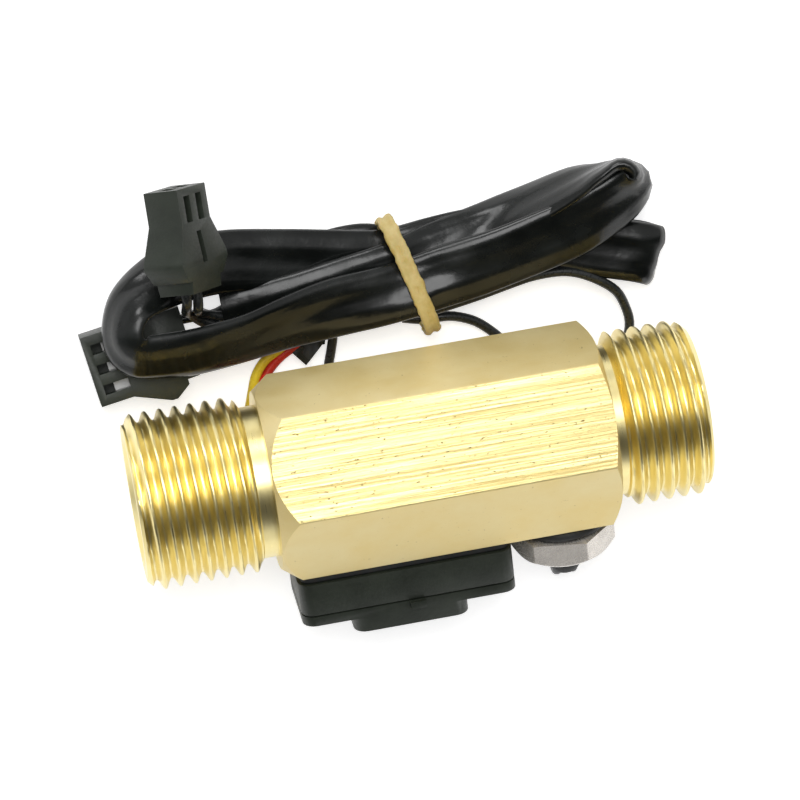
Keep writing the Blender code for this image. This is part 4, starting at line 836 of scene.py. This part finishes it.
sleeves = {
    "spacing": 0.6 * mm,
    "around": 44,
    "edgePower": 3.2,  # how square its section is
    "crowding": 0.8,  # brings the points nearer to the rims
    "mouths": [(0.84, 0.0), (0.82, 1.6 * mm)],  # share of the section, and how far in
    "pinchReach": 5.5 * mm,
    "folds": [(0.20, 0.0, 0.30), (-0.10, 0.42, 0.13), (0.11, -0.5, 0.12)],  # depth, place and width across
    "fineCreases": (0.00005, 0.00018, 0.00016),  # in metres: everywhere, in bends and beside the band
    "broadSwells": (0.00016, 0.0005),  # everywhere and beside the band
    "probe": {
        "width": 7.4 * mm, "thickness": 2.0 * mm, "seed": 3.1, "point": 0.0, "pinch": (3.9, 20.4, 5.0),
        "rows": [
            (8.0, 20.2, 1.25, 0), (11.0, 20.4, 1.25, 0), (15.0, 20.6, 1.25, 0), (19.5, 20.5, 1.25, 0),
            (23.4, 20.0, 1.25, 0), (27.0, 19.2, 1.25, 0), (30.8, 18.3, 1.25, 0), (32.5, 17.6, 1.65, 0),
            (33.1, 17.35, 2.4, 0), (32.5, 17.65, 3.2, 0), (30.8, 18.3, 3.6, 0), (27.0, 19.5, 3.5, 0),
            (23.4, 20.8, 3.3, 0), (20.0, 21.8, 3.0, 0), (16.5, 22.6, 2.7, 0), (13.0, 22.95, 2.6, 0),
            (6.8, 22.8, 2.6, 0), (3.4, 22.6, 2.6, -2), (0.5, 22.5, 2.6, -2), (-5.1, 23.3, 3.0, -2),
            (-11.1, 24.4, 3.5, 0), (-17.8, 25.5, 4.4, 6), (-23.1, 25.5, 6.4, 18, 0.3), (-27.0, 24.5, 8.0, 35, 0.6),
            (-29.9, 22.9, 8.9, 50, 0.8), (-31.3, 20.8, 9.3, 58, 0.8), (-31.6, 18.5, 9.4, 56, 0.8),
            (-30.3, 16.8, 9.3, 46, 0.8), (-27.3, 16.3, 9.1, 42, 0.7), (-23.1, 16.1, 8.6, 40, 0.5),
            (-17.4, 16.5, 7.6, 38, 0.2), (-11.9, 17.4, 6.8, 26), (-6.3, 18.1, 6.3, 12),
            (-0.8, 18.4, 6.05, 4), (2.9, 18.8, 6.0, 0), (6.7, 19.5, 6.1, 2), (14.3, 20.7, 6.4, 12),
            (23.0, 22.7, 6.8, 16), (27.5, 24.4, 7.0, 24), (30.3, 25.8, 7.0, 34), (31.9, 26.9, 7.0, 56),
            (31.6, 28.2, 6.9, 84), (29.8, 29.0, 6.7, 100), (27.4, 28.6, 6.4, 88), (25.0, 28.0, 5.9, 72),
            (22.7, 27.3, 5.4, 64), (17.5, 25.5, 4.4, 52), (13.6, 24.0, 3.9, 34), (10.0, 23.0, 3.9, 18),
            (6.5, 22.2, 4.0, 6), (2.3, 21.2, 4.3, 0), (-3.9, 20.1, 4.2, -6), (-10.1, 19.2, 3.9, -8),
            (-16.2, 18.5, 3.4, -8), (-19.2, 18.3, 3.0, -6)],
    },
    "hall": {
        "width": 5.0 * mm, "thickness": 1.8 * mm, "seed": 8.4, "point": 2.6 * mm, "pinch": None,
        "rows": [
            (-10.4, 11.3, 1.2, 0), (-10.2, 13.2, 1.2, 0), (-9.6, 15.2, 1.2, 0), (-7.9, 17.3, 1.2, 0),
            (-5.0, 18.5, 1.15, 0), (-2.0, 18.8, 1.1, 0), (0.6, 19.5, 1.1, 0), (2.2, 21.4, 1.1, 0),
            (1.2, 23.4, 1.1, 0), (-1.4, 24.4, 1.1, 0), (-6.0, 24.2, 1.1, 0), (-12.0, 23.0, 1.2, 0),
            (-17.0, 21.0, 1.5, 0)],
    },
}


# Closed mesh through sections that follow one another; each section is a list of points.
def sweepSections(sections, closed):
    shape = bmesh.new()
    rings = [[shape.verts.new(point) for point in section] for section in sections]
    around = len(rings[0])
    for first, second in list(zip(rings, rings[1:])) + ([(rings[-1], rings[0])] if closed else []):
        for k in range(around):
            j = (k + 1) % around
            shape.faces.new([first[k], first[j], second[j], second[k]])
    return shape, rings


# For each station of a sleeve: its centre, the way it runs, across its flat side, out of its flat side,
# and the side that arches out. Where the sleeve turns over, it keeps the side that it had.
def sleeveFrames(stations):
    last = len(stations) - 1
    centres = [Vector(row[:3]) for row in stations]
    tangents = [(centres[min(i + 1, last)] - centres[max(i - 1, 0)]).normalized() for i in range(last + 1)]
    left = Vector((0, 0, 1)).cross(tangents[0])
    frames = []
    for row, centre, tangent in zip(stations, centres, tangents):
        lean = math.radians(row[3])
        level = Vector((0, 0, 1)).cross(tangent)
        if level.length > 0.5:
            left = level if level.dot(left) > 0 else -level
        left = (left - tangent * left.dot(tangent)).normalized()
        above = tangent.cross(left)
        across = left * math.cos(lean) + above * math.sin(lean)
        outward = above * math.cos(lean) - left * math.sin(lean)
        frames.append((centre, tangent, across, outward, 1 if above.z > -0.01 else -1))
    return frames


# A flat glossy tube with soft folds along it. It buckles where it bends and beside the band, and
# both its ends are open mouths; the first may be cut to a point.
def makeSleeve(name, settings):
    route = [(*lying(x, y, z), lean, bow[0] * mm if bow else 0.0) for x, y, z, lean, *bow in settings["rows"]]
    stations, length = smoothRoute(route, sleeves["spacing"])
    frames = sleeveFrames(stations)
    last = len(frames) - 1
    halfWidth, halfThick, seed = settings["width"] / 2, settings["thickness"] / 2, settings["seed"]
    everywhere, inBends, atBand = sleeves["fineCreases"]
    swell, swellAtBand = sleeves["broadSwells"]
    sections = []
    for i, (centre, tangent, across, outward, facing) in enumerate(frames):
        travel = i * sleeves["spacing"]
        near = 0.0
        if settings["pinch"]:
            near = math.exp(-((centre - lying(*settings["pinch"])).length / sleeves["pinchReach"]) ** 2)
        squeeze = 1 + 0.07 * noise.noise(Vector((travel * 90, seed, 0))) - 0.05 * near
        bend = min(1.0, 1.1 * frames[max(i - 3, 0)][1].angle(frames[min(i + 3, last)][1]))
        foldAt = 0.35 * noise.noise(Vector((travel * 28, seed, 4)))
        section = []
        for k in range(sleeves["around"]):
            angle = 2 * math.pi * k / sleeves["around"]
            u = math.copysign(abs(math.cos(angle)) ** sleeves["crowding"], math.cos(angle))
            side = 1 if math.sin(angle) >= 0 else -1
            rim = (1 - abs(u) ** sleeves["edgePower"]) ** 0.5
            dish = sum(depth * math.exp(-((u - foldAt - place) / width) ** 2)
                       for depth, place, width in sleeves["folds"])
            height = side * (rim * (1 - dish) + 0.001)
            fine = noise.noise(Vector((travel * 300, u * 1.6 + 7 * side, seed)))
            broad = noise.noise(Vector((travel * 110, u * 0.9 + 7 * side, seed + 5)))
            sunk = ((everywhere + inBends * bend + atBand * near) * fine + (swell + swellAtBand * near) * broad) * rim
            arch = facing * stations[i][4] * (1 - u * u)
            point = centre + across * u * halfWidth * squeeze + outward * (height * halfThick + sunk * side + arch)
            if travel < settings["point"]:
                point += tangent * abs(u) * (settings["point"] - travel)
            section.append(point)
        sections.append(section)

    # The mouths: the edge turns in and runs back to a floor inside.
    def mouth(section, centre, inward):
        return [[centre + (point - centre) * share + inward * depth for point in section]
                for share, depth in sleeves["mouths"]]

    startMouth = mouth(sections[0], frames[0][0], frames[0][1])
    endMouth = mouth(sections[-1], frames[-1][0], -frames[-1][1])
    shape, rings = sweepSections(startMouth[::-1] + sections + endMouth, False)
    shape.faces.new(rings[0])
    shape.faces.new(rings[-1])
    piece = addPiece(name, shape, finishes["cable_sleeve"], smooth=60)
    return piece, [list(frame[0]) for frame in frames], length


# Plugs

plugs = {
    "flow": {"place": (-36.0, 15.2, 2.7), "turn": (0, 0, 8.5), "pins": 3, "node": "flow_plug"},
    "probe": {"place": (-23.2, 35.8, 12.7), "turn": (-53, 0, -90), "pins": 2, "node": "probe_plug"},
    "pitch": 2.5 * mm,
    # The boxes of one crimped contact, low and high corner in mm: a mouth's four walls, its spring
    # tongue, a neck and a barrel.
    "contact": [((2.2, -0.62, -0.62), (6.4, 0.62, -0.5)), ((2.2, -0.62, 0.5), (6.4, 0.62, 0.62)),
                ((2.25, -0.62, -0.52), (6.4, -0.5, 0.52)), ((2.25, 0.5, -0.52), (6.4, 0.62, 0.52)),
                ((2.6, -0.28, -0.2), (6.2, 0.28, -0.05)), ((6.3, -0.4, -0.6), (7.4, 0.4, -0.25)),
                ((7.2, -0.42, -0.6), (9.6, 0.42, 0.45))],
    "flowWires": ("red", "yellow", "black"),
    "wireStart": 11.6 * mm,  # behind the plug's mouth
}


def plugFrame(plug):
    x, y, z = (math.radians(angle) for angle in plug["turn"])
    spin = Matrix.Rotation(z, 4, "Z") @ Matrix.Rotation(y, 4, "Y") @ Matrix.Rotation(x, 4, "X")
    return Matrix.Translation(lying(*plug["place"])) @ spin


def addBox(shape, low, high):
    made = bmesh.ops.create_cube(shape, size=1)
    centre = [(a + b) / 2 for a, b in zip(low, high)]
    for vert in made["verts"]:
        vert.co = Vector([c + v * (b - a) for c, v, a, b in zip(centre, vert.co, low, high)])


def makeContacts(plug):
    first = -plugs["pitch"] * (plug["pins"] - 1) / 2
    shape = bmesh.new()
    for low, high in plugs["contact"]:
        addBox(shape, [value * mm for value in low], [value * mm for value in high])
    transformed(shape, plugFrame(plug) @ Matrix.Translation((0, first, 0)))
    piece = addPiece(plug["node"] + "Contacts", shape, finishes["tinned_metal"])
    step = plugFrame(plug).to_3x3() @ Vector((0, plugs["pitch"], 0))
    rowTree.apply(piece, copies=plug["pins"], step=step, finish=finishes["tinned_metal"])
    names = [f"{plug['node']}_contact_{k + 1}" for k in range(plug["pins"])]
    return settle(piece, shell, "tinned_metal", *names)


def makeFlowPlugWires():
    place = plugFrame(plugs["flow"])
    wires = []
    for n, colour in enumerate(plugs["flowWires"]):
        y = plugs["pitch"] * (n - 1)
        route = [place @ Vector(point) for point in (
            (plugs["wireStart"], y, 0), (13.6 * mm, 0.9 * y, 0), (16.2 * mm, 0.7 * y, -0.7 * mm),
            (18.9 * mm, 0.5 * y + mm, -1.3 * mm))]
        wires.append(tubeAlong(f"flowPlugWire{n + 1}", route, wireSpacing["plug"], colour + "_wire",
                               f"flow_plug_wire_{n + 1}")[0])
    return wires


def makeProbePlugWires():
    place = plugFrame(plugs["probe"])
    wires = []
    for n in range(2):
        y = plugs["pitch"] * (n - 0.5)
        lift = 1.4 * n - 0.7
        route = [place @ Vector((plugs["wireStart"], y, 0)), place @ Vector((13.2 * mm, y * 0.95, 0))]
        route += [lying(*point) for point in (
            (-23.3 + lift, 21.4, 11.4), (-23.2 + lift, 20.8, 8.6), (-22.8 + 0.9 * lift, 20.3, 5.6),
            (-21.6 + 0.4 * lift, 19.2 + 0.6 * lift, 3.7), (-19.6, 18.4 + 0.9 * lift, 3.0),
            (-18.2, 18.4 + 0.9 * lift, 3.1))]
        wires.append(tubeAlong(f"probePlugWire{n + 1}", route, wireSpacing["plug"], "black_wire")[0])
    return wires


# Elastic band: two strands side by side, twice round the cable, with a torn wavy edge.

band = {
    "centre": (3.2, 20.25, 4.05),
    "direction": (3.9, -14.8),
    "reach": 7.25 * mm,
    "height": 3.5 * mm,
    "width": 2.0 * mm,
    "thickness": 0.9 * mm,
    "squareness": 2.6,
    "waver": 0.16 * mm,  # to the sides
    "tear": 0.11,  # share of the width that its edges come and go
    "valley": (0.62, 0.3),  # depth between the two strands, and how much it varies
    "bumps": 0.07 * mm,
    "stations": 220,
    "around": 20,
}


def makeBand():
    size = band
    along = Vector((*size["direction"], 0)).normalized()
    width = Vector((-along.y, along.x, 0))
    up = Vector((0, 0, 1))
    centre = lying(*size["centre"])
    square = size["squareness"]
    depth, uneven = size["valley"]
    sections = []
    for i in range(size["stations"]):
        angle = 2 * math.pi * i / size["stations"]
        c, s = math.cos(angle), math.sin(angle)
        reach = 1 / (abs(c) ** square + abs(s) ** square) ** (1 / square)
        place = centre + along * c * reach * size["reach"] + up * s * reach * size["height"]
        outward = (along * c * size["height"] + up * s * size["reach"]).normalized()
        loop = Vector((c * 3, s * 3, 0))
        shift = size["waver"] * noise.noise(loop * 1.4 + Vector((0, 0, 9)))
        section = []
        for k in range(size["around"]):
            turn = 2 * math.pi * k / size["around"]
            u = math.copysign(abs(math.cos(turn)) ** 0.7, math.cos(turn))
            v = math.copysign(abs(math.sin(turn)) ** 0.8, math.sin(turn))
            edge = 1 + size["tear"] * noise.noise(loop * 4.5 + Vector((0, 0, 3 if u > 0 else 6)))
            valley = 1 - (depth + uneven * noise.noise(loop * 1.1)) * math.exp(-(u * 4.0) ** 2)
            point = place + width * (u * size["width"] / 2 * edge + shift)
            point += outward * v * size["thickness"] / 2 * valley
            point += outward * size["bumps"] * noise.noise(loop * 6 + Vector((u * 1.5, 0, 1)))
            section.append(point)
        sections.append(section)
    shape, rings = sweepSections(sections, True)
    piece = addPiece("bandDressed", shape, finishes["latex_band"], smooth=60)
    return settle(piece, shell, "latex_band", "rubber_band")


# Probe

probe = {
    "x": 16.3 * mm,
    "hexagon": 11.0 * mm,
    "edgeRound": 0.25 * mm,
    "base": 12.6 * mm,
    "top": 15.9 * mm,
    "turn": math.radians(30 + 90 + 13),
    "rim": 4.84 * mm,
    "slope": math.tan(math.radians(35)),
    "shank": 4.0 * mm,
    "tip": 1.35 * mm,
    "sealRadius": 4.95 * mm,
    "sealSection": 0.75 * mm,
    "sealHeight": 11.65 * mm,
    # The black stub over the head, as (radius, height) in mm, and the stem below it.
    "stub": [(2.7, 0.1), (2.5, 0.5), (2.15, 1.2), (1.9, 2.0), (1.5, 2.7), (0.8, 3.1), (0, 3.2)],
    "stem": (1.1 * mm, 4.6 * mm),
    "smoothUnder": math.radians(28),
}


def makeProbeHead():
    size = probe
    corner = size["hexagon"] / math.sqrt(3)
    rim, slope, top, base, tip = size["rim"], size["slope"], size["top"], size["base"], size["tip"]
    outline = roundedHexagon(corner, size["edgeRound"], (-24, -8, 8, 24), size["turn"])
    head = prismBetween([[(x, y, z) for x, y in outline] for z in (base, top)])
    fitting = addPiece("probeFittingDressed", head, finishes["nickel_plate"])
    over = corner + mm
    blank = [(0, base), (corner - 0.15 * mm, base), (over, base + 0.5 * mm), (over, top - (over - rim) * slope),
             (rim, top), (rim - 0.1 * mm, top + 0.02 * mm), (0, top + 0.02 * mm)]
    shank = [(0, tip), (1.2 * mm, tip), (2.0 * mm, tip + 0.5 * mm), (2.0 * mm, 5.45 * mm),
             (size["shank"] - 0.5 * mm, 5.75 * mm), (size["shank"], 6.35 * mm), (size["shank"], base + mm),
             (0, base + mm)]
    hollow = [(0, tip + 0.8 * mm), (1.3 * mm, tip + 0.8 * mm), (1.3 * mm, base), (2.9 * mm, base),
              (2.9 * mm, top - 0.15 * mm), (3.05 * mm, top + 0.1 * mm), (0, top + 0.1 * mm)]
    for name, operation, profile, sides in (("blank", "INTERSECT", blank, 96), ("shank", "UNION", shank, 64),
                                            ("hollow", "DIFFERENCE", hollow, 64)):
        carve(fitting, operation, addPiece(name, lathe(profile, sides), finishes["nickel_plate"]))
    return fitting


def makeProbe():
    size = probe
    place = sensorFrame @ Matrix.Translation((size["x"], 0, 0))
    fitting = makeProbeHead()
    fitting.data.transform(place)
    sharpenEdges(fitting, size["smoothUnder"])
    settle(fitting, shell, "nickel_plate", "probe_fitting")

    ring = [(size["sealRadius"] + size["sealSection"] * math.cos(2 * math.pi * k / 20),
             size["sealHeight"] + size["sealSection"] * math.sin(2 * math.pi * k / 20)) for k in range(20)]
    seal = addPiece("probeSealDressed", transformed(lathe(ring, 72, closed=True), place),
                    finishes["black_rubber"], smooth=60)
    settle(seal, shell, "black_rubber", "probe_o_ring")

    floor = size["base"] - size["top"] + 0.2 * mm
    stemRadius, stemLength = size["stem"]
    stemEnd = size["base"] - size["top"] - stemLength
    profile = [(0, stemEnd), (stemRadius, stemEnd), (stemRadius, floor), (size["stub"][0][0] * mm, floor)]
    profile += [(radius * mm, height * mm) for radius, height in size["stub"]]
    potting = transformed(lathe(profile, 48), place @ Matrix.Translation((0, 0, size["top"])))
    piece = addPiece("probePottingDressed", potting, finishes["black_rubber"], smooth=50)
    settle(piece, shell, "black_rubber", "probe_potting")
    print("probe ready")


# Screws of the lid

screws = {
    "place": -13.95 * mm,
    "step": 20.8 * mm,
    "seat": 16.95 * mm,
    "head": 3.7 * mm,
    "height": 1.25 * mm,
    "shank": 1.25 * mm,
    "tip": 8.4 * mm,
    "slot": (1.15 * mm, 0.2 * mm, 0.6 * mm),  # half length, half width and depth
    "turn": math.radians(24),
    "smoothUnder": math.radians(35),
}


def makeScrews():
    size = screws
    radius, height = size["head"] / 2, size["height"]
    length = size["seat"] - size["tip"]
    profile = [(0, -length), (size["shank"] - 0.3 * mm, -length), (size["shank"], 0.4 * mm - length),
               (size["shank"], 0), (radius - 0.08 * mm, 0), (radius, 0.08 * mm)]
    profile += [(radius * math.cos(angle) ** 0.6, 0.35 * height + 0.65 * height * math.sin(angle))
                for angle in (math.pi / 2 * k / 8 for k in range(8))]
    profile.append((0, height))
    screw = addPiece("lidScrews", lathe(profile, 48), finishes["stainless_steel"])
    arm, blade, depth = size["slot"]
    for reach, side in ((arm, blade), (blade, arm)):
        cut = bmesh.new()
        addBox(cut, (-reach, -side, height - depth), (reach, side, height + mm))
        carve(screw, "DIFFERENCE", addPiece("slot", cut, finishes["stainless_steel"]))
    screw.data.transform(sensorFrame @ Matrix.Translation((size["place"], 0, size["seat"]))
                         @ Matrix.Rotation(size["turn"], 4, "Z"))
    rowTree.apply(screw, copies=2, step=Vector((size["step"], 0, 0)), finish=finishes["stainless_steel"])
    sharpenEdges(screw, size["smoothUnder"])
    settle(screw, shell, "stainless_steel", "lid_screw_left", "lid_screw_right")
    print("screws ready")


# Everything is built here, in order.

placeCamera()
buildWorld()
buildFloor()
for lampName in ("overhead", "fill", "strip"):
    addLamp(lampName, **studio[lampName])
print("studio ready")

makeWires()
dressedPlugs = softenNodes()
probeSleeve, probePath, probeLength = makeSleeve("probeSleeve", sleeves["probe"])
settle(probeSleeve, shell, "cable_sleeve", "cable_hank")
hallSleeve, hallPath, hallLength = makeSleeve("hallSleeve", sleeves["hall"])
settle(hallSleeve, shell, "cable_sleeve")
bandPiece = makeBand()
[dressedPlugs["probe_plug"], makeContacts(plugs["probe"]), bandPiece] + makeProbePlugWires()
[dressedPlugs["flow_plug"], makeContacts(plugs["flow"])] + makeFlowPlugWires()
print("cords ready")
makeBrassBody()
makeProbe()
makeScrews()

view = bpy.context.scene.view_settings
view.view_transform = "Standard"
